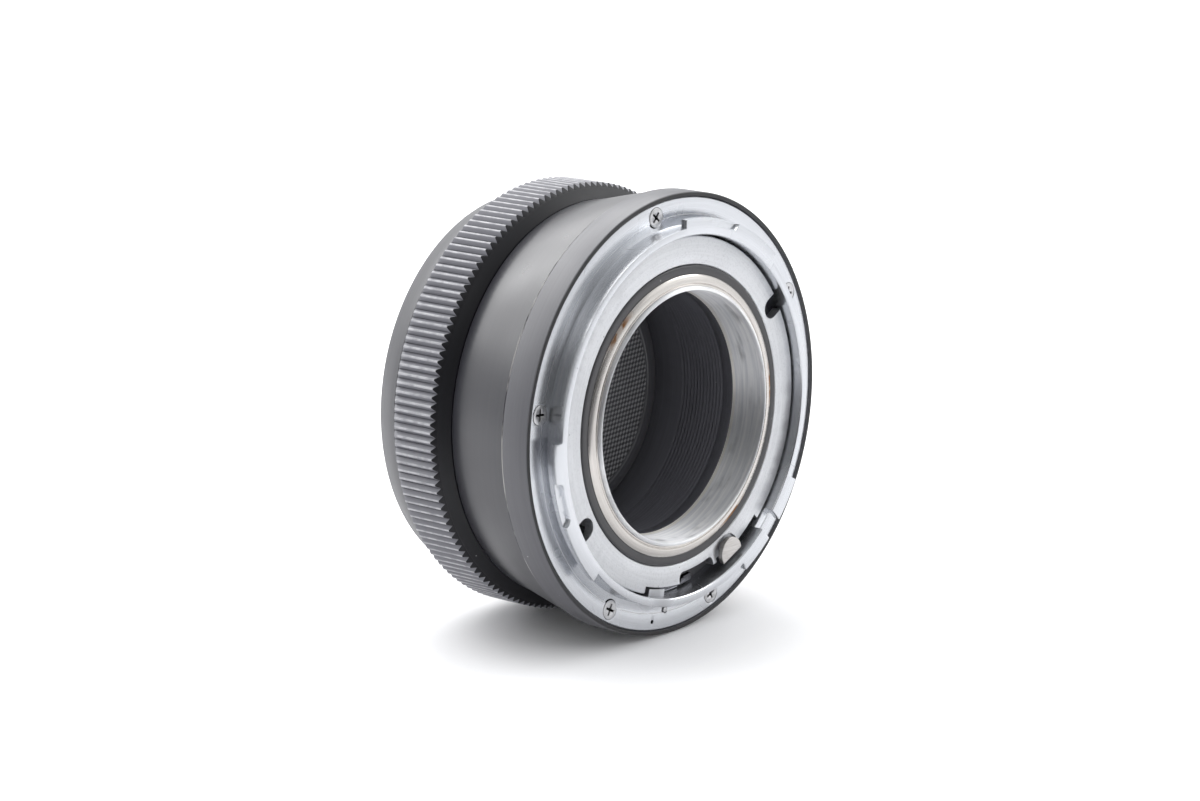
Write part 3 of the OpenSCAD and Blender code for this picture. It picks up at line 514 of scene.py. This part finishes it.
def cut(piece, *tools):
    """Takes each tool's shape out of a piece, and sorts what is left."""
    for tool in tools:
        select_only(piece)
        boolean = piece.modifiers.new("cut", "BOOLEAN")
        boolean.operation = "DIFFERENCE"
        boolean.solver = "EXACT"
        boolean.object = tool
        bpy.ops.object.modifier_apply(modifier=boolean.name)
        bpy.data.objects.remove(tool, do_unlink=True)
    bpy.context.scene.cursor.location = sorting_place
    bpy.ops.object.mode_set(mode="EDIT")
    bpy.ops.mesh.select_all(action="SELECT")
    bpy.ops.mesh.sort_elements(type="CURSOR_DISTANCE", elements={"VERT", "EDGE", "FACE"})
    bpy.ops.mesh.remove_doubles(threshold=0.01 * MM)
    bpy.ops.object.mode_set(mode="OBJECT")


cocking_ring = turn("cocking_ring_plate", ring_section, faces=360)
for angle in slot_angles:
    cut(cocking_ring,
        drill(pin_circle, angle, in_front, behind_ring, slot_radius, faces=48),
        block(pin_circle, outside, in_front, behind_ring, 2 * slot_radius, angle))
corner_turn = math.degrees(math.asin(deep_corner / deep_floor))
corners = (deep_recess[0] + corner_turn, deep_recess[1] - corner_turn)
corner_circle = deep_floor + deep_corner
cut(cocking_ring,
    sector(recess_floor, outside, in_front, behind_plate, recess),
    sector(corner_circle, outside, in_front, behind_plate, deep_recess),
    sector(deep_floor, outside, in_front, behind_plate, corners))
for angle in corners:
    cut(cocking_ring, drill(corner_circle, angle, in_front, behind_plate, deep_corner - hair))
cut(cocking_ring, drill(button_circle, button_angle, in_front, button_seat_y, button_seat, faces=64))
soften(cocking_ring, 0.07)
blasted = turned_metal("blasted_aluminium", ring_grey, 0.42, contrast=0.04, stretch=0.2)
tree, shader = inside(blasted)
grain = cloudy(tree, 2600.0, 2.0)
lay_over(tree, shader, graded(tree, grain, 0.52, 0.72, 0.0, 0.5), grain_grey, 0.5)
lay_over(tree, shader, times(tree, specks(tree, 500.0, 0.10, 0.05, 0.12), 0.7), pit_grey, 0.6)
fit(cocking_ring, blasted, "drive", "ring_aluminium", "cocking_ring")

# Lock plunger. A nickel-plated button with one side cut flat, which a lens presses to free the drive.
# Its face is brushed; it slides on a thin shank behind it.
button_radius, button_flat, button_front, button_back = 3.75, 41.95, 1.0, 2.3
shank_circle, shank_front, shank_back, shank_radius = 39.25, 2.2, 5.75, 0.9
brushed_dark, brushed_light = (0.48, 0.46, 0.44, 1), (0.66, 0.64, 0.62, 1)


def join(piece, *others):
    """Joins other shapes to a piece."""
    select_only(piece)
    for other in others:
        other.select_set(True)
    bpy.ops.object.join()


def keep_inside(piece, point, facing):
    """Saws a piece off at a plane, and keeps what lies behind it."""
    select_only(piece)
    bpy.ops.object.mode_set(mode="EDIT")
    bpy.ops.mesh.select_all(action="SELECT")
    bpy.ops.mesh.bisect(plane_co=point, plane_no=facing, use_fill=True, clear_outer=True)
    bpy.ops.object.mode_set(mode="OBJECT")


outwards = at(1, 0, button_angle).normalized()
button = drill(button_circle, button_angle, button_front, button_back, button_radius, faces=72)
button.name = "plunger_button"
keep_inside(button, outwards * button_flat * MM, outwards)
join(button, drill(shank_circle, button_angle, shank_front, shank_back, shank_radius))
soften(button, 0.16, steps=3)
button_plate = new_material("brushed_nickel")
tree, shader = inside(button_plate)
stroke = {"Vector": here(tree), "Rotation": (0, 0.6, 0), "Scale": (260.0, 260.0, 5200.0)}
lines = add(tree, "Mapping", stroke).outputs[0]
brushing = add(tree, "TexNoise", {"Vector": lines, "Scale": 1.0, "Detail": 3.0}).outputs[0]
tone = mixed(tree, graded(tree, brushing, 0.3, 0.7), brushed_dark, brushed_light)
coat(tree, shader, tone, graded(tree, brushing, 0.3, 0.7, 0.28, 0.42))
emboss(tree, shader, brushing, 0.3, 0.01)
shader.inputs["Metallic"].default_value = 1.0
fit(button, button_plate, "plunger", "nickel", "lock_plunger")


# Lock lever. The dark lever that shows in the recess, stamped from steel and blackened.
# It turns on a pivot screw behind the cocking ring. The solid's own shape stays.
def dress(material, *names):
    """Gives the solids of these names a material."""
    for name in names:
        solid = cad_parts[name]
        solid.data.materials.clear()
        solid.data.materials.append(material)


lever_grey = (0.12, 0.12, 0.13)
dress(turned_metal("lever_steel", lever_grey, 0.24, marks=900.0, contrast=0.3, stretch=0.3), "lock_lever")

# Springs. The lever's leaf spring, the plunger's coil spring, and the snap ring that holds the breech ring
# on the barrel. They are bent from spring steel and left bare.
spring_grey = (0.45, 0.46, 0.50)
spring_steel = turned_metal("spring_steel", spring_grey, 0.30, marks=3500.0, stretch=0.2)
dress(spring_steel, "snap_ring", "lever_spring", "plunger_spring")

# Drum. The tube that joins the cocking ring to the driver ring, inside the barrel.
# It is turned from aluminium and anodised black.
drum_grey = (0.03, 0.03, 0.033)
dress(black_finish("drum_black", drum_grey, 0.45), "drum")

# Driver ring. The ring at the camera side that carries the drive pins, turned from aluminium
# and left bare. Screws hold it in the drum.
driver_grey = (0.74, 0.74, 0.75)
dress(turned_metal("driver_metal", driver_grey, 0.34), "driver_ring")

# Drum bush. The bearing that the driver ring turns on, so that aluminium doesn't rub on aluminium.
# It is turned from brass and left bare.
brass_yellow = (0.72, 0.55, 0.28)
dress(turned_metal("bearing_brass", brass_yellow, 0.30), "drum_bush")

# Flange housing. The black rim round the chrome flange, turned from aluminium and painted.
# The paint has rubbed off along its front edge, and a round hole in its side holds a red dot.
housing_section = [
    (41.0, 7.35), (52.15, 7.35), (52.15, 3.9), (52.95, 3.9), (53.2, 4.15), (53.2, 11.35),
    (52.95, 11.6), (49.0, 11.6), (49.0, 15.1), (44.0, 15.1), (44.0, 11.6), (41.0, 11.6),
]
index_angle, dot_y, dot_floor, dot_end, dot_hole = 314.5, 7.95, 52.7, 54.5, 1.05
edge_y, edge_width, face_end, side_start = 4.0, 0.12, 3.95, 4.10
rim_black, rim_face_painted_shade, rim_worn = (0.080, 0.080, 0.092), (0.008, 0.008, 0.010), (0.45, 0.44, 0.42)


def away_from(tree, value, line):
    """How far a value is from a line, on either side of it."""
    return maths(tree, "ABSOLUTE", maths(tree, "SUBTRACT", value, line))


def worn_line(tree, y, width):
    """A broken line round the object at a height on its axis, where paint has rubbed off."""
    line = graded(tree, away_from(tree, along_axis(tree), y * MM), 0.3 * width * MM, width * MM, 1.0, 0.0)
    return times(tree, line, graded(tree, cloudy(tree, 130.0, 5.0), 0.42, 0.58))


housing = turn("housing_rim", housing_section)
cut(housing, peg(at(dot_floor, dot_y, index_angle), at(dot_end, dot_y, index_angle), dot_hole))
soften(housing, 0.1)
rim_paint = black_finish("rim_paint", rim_black, 0.42, gloss=1.7)
tree, shader = inside(rim_paint)
lay_over(tree, shader, times(tree, worn_line(tree, edge_y, edge_width), 0.25), rim_worn, 0.4)
# Painted shade: the front face of the rim is made near black, darker than the rest of the paint.
painted_shade_on_face = graded(tree, along_axis(tree), face_end * MM, side_start * MM, 1.0, 0.0)
lay_over(tree, shader, painted_shade_on_face, rim_face_painted_shade, 0.6)
fit(housing, rim_paint, "tube", "black_paint", "flange_housing")

# Lens flange. Brass, turned and chrome-plated: a flat face with a collar, which has three lugs for a lens's
# breech ring, pockets in two of them, and a notch for the lens's key. Five screws hold it in the housing.
seat_radius, lug_radius, lug_depth = 45.4, 47.5, 1.6
lug_spans = [(46, 91.5), (177.5, 223.5), (298, 331)]
pocket_spans, pocket_floor, pocket_depth = [(67, 80), (189, 202.5)], 45.5, 1.1
notch_width, notch_depth, past_lugs, flange_bore = 5.6, 2.4, 49, 43.5
flange_section = [
    (43.5, 0.25), (43.75, 0.0), (45.4, 0.0), (45.4, 1.6), (45.4, 4.6), (47.9, 4.6),
    (47.9, 4.3), (51.75, 4.3), (52.0, 4.55), (52.0, 7.3), (43.5, 7.3),
]
screw_angles, screw_circle, screw_face = [28, 98.5, 170, 241, 286.5], 48.9, 4.3
sink_front, sink_back, sink_radius, sink_end_radius, hole_front = 4.0, 5.7, 2.76, 1.25, 3
dowel_circle, dowel_angle, dowel_hole, dowel_hole_end = 47.4, 266, 0.86, 8
vent_circle, vent_angle, vent_hole, vent_hole_end = 49.9, 260.5, 0.52, 6.3
tab_inner, tab_outer, tab_front, tab_back, tab_span = 41.65, 43.6, 2.5, 4.9, (254.2, 262)
foot_radius, painted_shade_spot, painted_shade_reach = 47.85, (43, 2.5, 257.5), 5.2
hole_shade_start, hole_shade_full = 4.34, 4.5
chrome_grey, foot_highlight_white, scratch_grey = (0.68, 0.695, 0.725), (0.95, 0.95, 0.95), (0.45, 0.46, 0.48)
hole_painted_shade, painted_shade_grey, nick_grey = (0.02, 0.02, 0.022), (0.25, 0.25, 0.26), (0.12, 0.12, 0.13)


def pick_faces(piece, wanted):
    """Starts to edit a piece, with only its wanted faces selected."""
    select_only(piece)
    bpy.ops.object.mode_set(mode="EDIT")
    bpy.ops.mesh.select_mode(type="FACE")
    bpy.ops.mesh.select_all(action="DESELECT")
    bpy.ops.object.mode_set(mode="OBJECT")
    for face in piece.data.polygons:
        face.select = wanted(face)
    bpy.ops.object.mode_set(mode="EDIT")


def raise_lugs(piece, seat):
    """Draws lugs out of a collar, from the faces of its wall next to the seat."""
    def under_a_lug(face):
        x, y, z = face.center / MM
        angle = math.degrees(math.atan2(z, x)) % 360
        on_wall = abs(math.hypot(x, z) - seat_radius) < 0.02 and seat + 0.01 < y < seat + lug_depth
        return on_wall and any(low < angle < high for low, high in lug_spans)

    pick_faces(piece, under_a_lug)
    growth = lug_radius / seat_radius
    bpy.ops.mesh.extrude_region_move(TRANSFORM_OT_translate={"value": (0, 0, 0)})
    bpy.ops.transform.resize(value=(growth, 1, growth), center_override=(0, 0, 0))
    bpy.ops.mesh.select_all(action="SELECT")
    bpy.ops.mesh.normals_make_consistent(inside=False)
    bpy.ops.object.mode_set(mode="OBJECT")


def mill_lugs(piece, seat, bore):
    """Mills the pockets in two lugs, with round corners, and the notch for the key."""
    corner = lug_radius - pocket_floor
    corner_turn = math.degrees(math.asin(corner / lug_radius))
    floor_y = seat + pocket_depth
    for low, high in pocket_spans:
        corners = (low + corner_turn, high - corner_turn)
        cut(piece, sector(pocket_floor, past_lugs, seat - 1, floor_y, corners))
        for angle in corners:
            cut(piece, drill(lug_radius, angle, seat - 1, floor_y, corner - hair))
    cut(piece, block(bore - 1, past_lugs, seat - 1, seat + notch_depth, notch_width, index_angle))


flange = turn("lens_flange_plate", flange_section, faces=720)
raise_lugs(flange, 0)
mill_lugs(flange, 0, flange_bore)
for angle in screw_angles:
    cut(flange, drill(screw_circle, angle, sink_front, sink_back, sink_radius, sink_end_radius, faces=48))
cut(flange,
    drill(dowel_circle, dowel_angle, hole_front, dowel_hole_end, dowel_hole),
    drill(vent_circle, vent_angle, hole_front, vent_hole_end, vent_hole))
join(flange, sector(tab_inner, tab_outer, tab_front, tab_back, tab_span))
soften(flange, 0.09)
chrome = turned_metal("brushed_chrome", chrome_grey, 0.26, marks=4000.0, contrast=0.05, stretch=0.75,
                      relief=0.003, stain=0.1)
tree, shader = inside(chrome)
# Painted highlight: a bright thin ring round the foot of the collar.
foot_highlight = graded(tree, away_from(tree, from_axis(tree), foot_radius * MM), 0.08 * MM, 0.16 * MM, 1.0, 0.0)
lay_over(tree, shader, times(tree, foot_highlight, 0.8), foot_highlight_white, 0.5)
hairs = graded(tree, away_from(tree, cloudy(tree, 35.0, 1.0), 0.5), 0.0, 0.002, 1.0, 0.0)
hairs = times(tree, hairs, graded(tree, cloudy(tree, 90.0), 0.5, 0.6))
lay_over(tree, shader, times(tree, hairs, 0.6), scratch_grey, 0.5)
# Painted shade: the screw holes, the dowel hole and the vent hole are made near black below the flange's
# face.
shaded_holes = [(screw_circle, angle, 2.62) for angle in screw_angles]
shaded_holes += [(dowel_circle, dowel_angle, 1.0), (vent_circle, vent_angle, 0.68)]
painted_shade_depth = graded(tree, along_axis(tree), hole_shade_start * MM, hole_shade_full * MM)
for circle, angle, radius in shaded_holes:
    away = measure(tree, "DISTANCE", across_axis(tree), at(circle, 0, angle))
    painted_shade_in_hole = times(tree, painted_shade_depth, graded(tree, away, (radius - 0.05) * MM, radius * MM, 1.0, 0.0))
    lay_over(tree, shader, painted_shade_in_hole, hole_painted_shade, 0.7)
# Painted shade: a soft dark spot over the stop tab under the collar.
lay_over(tree, shader, times(tree, spot(tree, at(*painted_shade_spot), painted_shade_reach), 0.6), painted_shade_grey, 0.5)
lay_over(tree, shader, times(tree, specks(tree, 300.0, 0.10, 0.03, 0.07), 0.8), nick_grey, 0.6)
fit(flange, chrome, "tube", "flange_chrome", "lens_flange")

# Flange dowel. A steel pin pressed into the housing, which sets the flange at the right angle on it.
# It is ground flush with the flange, and a thin gap shows round it.
dowel_front, dowel_back, dowel_radius = screw_face + 0.03, 9.25, 0.63
steel_grey = (0.68, 0.68, 0.69)
dowel = drill(dowel_circle, dowel_angle, dowel_front, dowel_back, dowel_radius, faces=24)
dowel.name = "dowel_pin"
soften(dowel, 0.05)
pin_steel = turned_metal("pin_steel", steel_grey, 0.30, marks=3500.0, stretch=0.2)
fit(dowel, pin_steel, "tube", "screw_steel", "flange_dowel")

# Flange screws. Five steel screws with countersunk heads, a step round the face of each, and a cross in it.
# One is modelled and copied, each with its cross turned its own way.
head_radius, head_depth, shaft_radius = 2.35, 1.2, 1.25
rim_width, face_rise = 0.35, 0.06
cross_length, cross_width, cross_depth, cross_turns = 2.9, 0.56, 0.85, [12, 40, 5, 28, 63]
point_radius, point_end_radius, point_depth = 0.62, 0.3, 1.0
cross_shade_start, cross_shade_full = 4.42, 4.60
head_grey, head_stain, cross_painted_shade = (0.66, 0.66, 0.67), (0.32, 0.31, 0.30), (0.07, 0.07, 0.07)
screw = drill(0, 0, screw_face, screw_face + head_depth, head_radius, shaft_radius, faces=48)
pick_faces(screw, lambda face: face.normal.y < -0.9)
bpy.ops.mesh.inset(thickness=rim_width * MM)
bpy.ops.transform.translate(value=(0, -face_rise * MM, 0))
bpy.ops.object.mode_set(mode="OBJECT")
half, cross_floor = cross_length / 2, screw_face + cross_depth
for quarter in (0, 90):
    cut(screw, block(-half, half, screw_face - 0.5, cross_floor, cross_width, quarter))
cut(screw, drill(0, 0, screw_face - 0.2, screw_face + point_depth, point_radius, point_end_radius, faces=16))
soften(screw, 0.05)
screw_steel = turned_metal("screw_steel", head_grey, 0.28, marks=4000.0, stretch=0.2)
tree, shader = inside(screw_steel)
lay_over(tree, shader, graded(tree, cloudy(tree, 700.0), 0.55, 0.75, 0.0, 0.6), head_stain, 0.5)
# Painted shade: the cross and all below the head's face are made near black.
lay_over(tree, shader, graded(tree, along_axis(tree), cross_shade_start * MM, cross_shade_full * MM), cross_painted_shade, 0.7)
for number, (angle, cross_turn) in enumerate(zip(screw_angles, cross_turns), 1):
    head = screw.copy()
    head.data = screw.data.copy()
    head.name = f"flange_screw_{number}"
    bpy.context.collection.objects.link(head)
    select_only(head)
    head.rotation_euler = (0, math.radians(cross_turn), 0)
    head.location = at(screw_circle, 0, angle)
    bpy.ops.object.transform_apply(location=True, rotation=True, scale=True)
    fit(head, screw_steel, "tube", "screw_steel", "flange_screws")
bpy.data.objects.remove(screw, do_unlink=True)

# Main barrel. Turned from aluminium and painted satin black, narrowing from the rim to the breech ring.
# It is smooth, and its paint is rubbed through in a broken line along its front edge.
barrel_section = [
    (49.05, 11.65), (52.6, 11.65), (52.85, 11.9), (49.0, 27.9), (48.4, 31.4), (46.95, 31.4),
    (46.95, 36.8), (46.05, 36.8), (46.05, 38.0), (46.95, 38.0), (46.95, 41.95), (44.0, 41.95),
    (44.0, 15.15), (49.05, 15.15),
]
worn_y, worn_width = 11.85, 0.2
barrel_black, barrel_worn = (0.028, 0.028, 0.035), (0.5, 0.49, 0.47)
barrel = turn("barrel_shell", barrel_section)
soften(barrel, 0.12)
barrel_paint = black_finish("barrel_paint", barrel_black, 0.31, gloss=1.7)
tree, shader = inside(barrel_paint)
lay_over(tree, shader, times(tree, worn_line(tree, worn_y, worn_width), 0.8), barrel_worn, 0.4)
fit(barrel, barrel_paint, "tube", "black_paint", "main_barrel")

# Camera seat and lug ring. The plate that meets the camera, and the ring of lugs inside the breech ring.
# Both are turned, chrome-plated, and held by six screws each.
seat_grey = (0.80, 0.81, 0.82)
dress(turned_metal("seat_chrome", seat_grey, 0.22, marks=1500.0), "seat_plate", "lug_ring")

# Seat screws, locating key and drive pins. Small bright steel pieces, turned or ground:
# the screws hold the camera seat, the key finds the camera's notch, and the pins drive its coupling.
small_steel = turned_metal("small_steel", steel_grey, 0.26, marks=3500.0, stretch=0.2)
dress(small_steel, "seat_screws", "locating_key", "drive_pins")

# Inner screws and clip. The screws inside the tube and the clip that keeps the plunger in.
# They are steel, turned or stamped, and blued against rust.
blued_grey = (0.17, 0.17, 0.19)
blued_steel = turned_metal("blued_steel", blued_grey, 0.38, marks=3500.0, stretch=0.2)
dress(blued_steel, "breech_stop_screw", "lever_pivot_screw", "drum_screws", "plunger_clip", "lug_ring_screws")

# Breech ring. The ring that locks the tube to the camera, with 154 teeth milled across its rim.
# It is aluminium anodised black, and the crests of the teeth are rubbed grey, some more than others.
breech_section = [
    (47.0, 31.7), (48.4, 31.7), (50.85, 33.8), (51.0, 34.3), (51.0, 47.15), (50.1, 48.0),
    (49.65, 48.0), (49.65, 44.95), (47.0, 44.95), (47.0, 41.6), (48.6, 41.6), (48.6, 38.4),
    (47.9, 38.4), (47.9, 36.6), (47.0, 36.6),
]
teeth, tooth_root, root_radius, crest_radius = 154, 50.5, 51.0, 52.08
tooth_front, tooth_back, root_share, crest_share = 33.0, 47.3, 1.45, 0.13
front_cone, front_facing = (50.85, 33.85), (0.651, -0.759)
back_cone, back_facing = (50.1, 48.0), (0.629, 0.778)
dot_circle, dot_cone_y = 49.625, 32.75
cone_slope, cone_line, cone_line_end = 0.857, -9.70, -9.62
flank_start, flank_end, crest_start, crest_end = 50.95, 51.25, 51.93, 52.04
grip_colour, flank_painted_sheen_grey, crest_grey = (0.007, 0.007, 0.010), (0.18, 0.18, 0.20), (0.42, 0.42, 0.44)
breech_ring = turn("grip_ring", breech_section)
dot_turn = math.radians(index_angle)
cone_out, cone_forward = front_facing
dot_facing = Vector((cone_out * math.cos(dot_turn), cone_forward, cone_out * math.sin(dot_turn)))
dot_place = at(dot_circle, dot_cone_y, index_angle)
cut(breech_ring, peg(dot_place - dot_facing * 0.5 * MM, dot_place + dot_facing * MM, dot_hole))
tooth_pitch = 2 * math.pi * root_radius / teeth
bpy.ops.object.select_all(action="DESELECT")
bpy.ops.mesh.primitive_cube_add(size=MM)
tooth = bpy.context.object
tooth.scale = (crest_radius - tooth_root, tooth_back - tooth_front, tooth_pitch * root_share)
tooth.location = ((crest_radius + tooth_root) / 2 * MM, (tooth_back + tooth_front) / 2 * MM, 0)
bpy.ops.object.transform_apply(location=True, rotation=True, scale=True)
pick_faces(tooth, lambda face: face.normal.x > 0.9)
bpy.ops.transform.resize(value=(1, 1, crest_share), center_override=(crest_radius * MM, 0, 0))
bpy.ops.object.mode_set(mode="OBJECT")
keep_inside(tooth, (front_cone[0] * MM, front_cone[1] * MM, 0), (*front_facing, 0))
keep_inside(tooth, (back_cone[0] * MM, back_cone[1] * MM, 0), (*back_facing, 0))
soften(tooth, 0.06)
bpy.ops.object.mode_set(mode="EDIT")
bpy.ops.mesh.select_all(action="SELECT")
bpy.ops.mesh.spin(steps=teeth - 1, angle=2 * math.pi * (teeth - 1) / teeth, dupli=True,
                  center=(0, 0, 0), axis=(0, 1, 0))
bpy.ops.object.mode_set(mode="OBJECT")
soften(breech_ring, 0.10)
join(breech_ring, tooth)
grip_black = black_finish("grip_black", grip_colour, 0.42, gloss=1.40)
tree, shader = inside(grip_black)
reach = from_axis(tree)
past_cone = maths(tree, "ADD", times(tree, reach, -cone_slope), along_axis(tree))
behind_cone = graded(tree, past_cone, cone_line * MM, cone_line_end * MM)
# Painted sheen: the flanks of the teeth are made grey, lighter than the cone, for the sheen the ring's low
# gloss takes away.
painted_sheen_on_flanks = times(tree, behind_cone, graded(tree, reach, flank_start * MM, flank_end * MM))
lay_over(tree, shader, painted_sheen_on_flanks, flank_painted_sheen_grey, 0.40)
on_crests = times(tree, behind_cone, graded(tree, reach, crest_start * MM, crest_end * MM))
rubbing = graded(tree, cloudy(tree, 400.0), 0.35, 0.6, 0.3, 1.0)
lay_over(tree, shader, times(tree, on_crests, rubbing), crest_grey, 0.4)
fit(breech_ring, grip_black, "breech", "black_anodised", "breech_ring")

# Index dots. Red enamel in a round hole in the rim and in another in the breech ring,
# which show how the lens, the tube and the camera go together.
red_dark, red_light = (0.45, 0.012, 0.010, 1), (0.62, 0.03, 0.02, 1)
enamel = new_material("red_enamel")
tree, shader = inside(enamel)
flow = cloudy(tree, 1500.0)
coat(tree, shader, mixed(tree, flow, red_dark, red_light), graded(tree, flow, 0.3, 0.7, 0.18, 0.32))
dress(enamel, "housing_index_dot", "breech_index_dot")

# Rear cap. One moulding in black plastic: a skirt that narrows to the back, a deep dish that reaches into
# the tube, and inside the skirt a collar with the same lugs as a camera has. The dish's floor is checkered.
cap_section = [
    (0.002, 35.2), (26.75, 35.2), (27.0, 34.95), (28.5, 34.95), (29.9, 35.2), (30.6, 35.9), (31.4, 47.0),
    (31.8, 54.1), (43.9, 54.1), (43.9, 45.35), (44.15, 45.1), (45.4, 45.1), (45.4, 46.7), (45.4, 53.9),
    (45.9, 54.1), (48.5, 48.3), (49.7, 48.3), (49.9, 48.5), (47.3, 55.3), (46.9, 55.7), (30.2, 55.7),
    (29.6, 47.0), (29.0, 37.5), (28.3, 36.8), (0.002, 36.8),
]
cap_seat, cap_bore, dish_floor = 45.1, 43.9, 35.2
check_turn, check_pitches, check_height = math.radians(38), {"X": 2.0, "Z": 1.4}, 0.15
floor_radius, floor_edge = 26.2, 26.4
cap_grey, check_light, check_dark = (0.070, 0.070, 0.078), (0.26, 0.26, 0.27), (0.03, 0.03, 0.032)
cap = turn("rear_cap_shell", cap_section, faces=720)
raise_lugs(cap, cap_seat)
mill_lugs(cap, cap_seat, cap_bore)
soften(cap, 0.12)
cap_black = black_finish("cap_plastic", cap_grey, 0.40, dust=0.06, gloss=1.7)
tree, shader = inside(cap_black)
turned_place = add(tree, "Mapping", {"Vector": here(tree), "Rotation": (0, check_turn, 0)}).outputs[0]
parts = add(tree, "SeparateXYZ", {0: turned_place})
waves = []
for axis, pitch in check_pitches.items():
    phase = times(tree, parts.outputs[axis], 2 * math.pi / (pitch * MM))
    waves.append(maths(tree, "SINE", phase))
check = times(tree, *waves)
from_middle = measure(tree, "DISTANCE", here(tree), (0, dish_floor * MM, 0))
on_floor = graded(tree, from_middle, floor_radius * MM, floor_edge * MM, 1.0, 0.0)
lay_over(tree, shader, times(tree, on_floor, graded(tree, check, -0.1, 0.6)), check_light, 0.5)
lay_over(tree, shader, times(tree, on_floor, graded(tree, check, 0.1, -0.6)), check_dark, 0.6)
emboss(tree, shader, times(tree, on_floor, check), 0.6, check_height)
fit(cap, cap_black, "cap", "cap_plastic", "rear_cap")
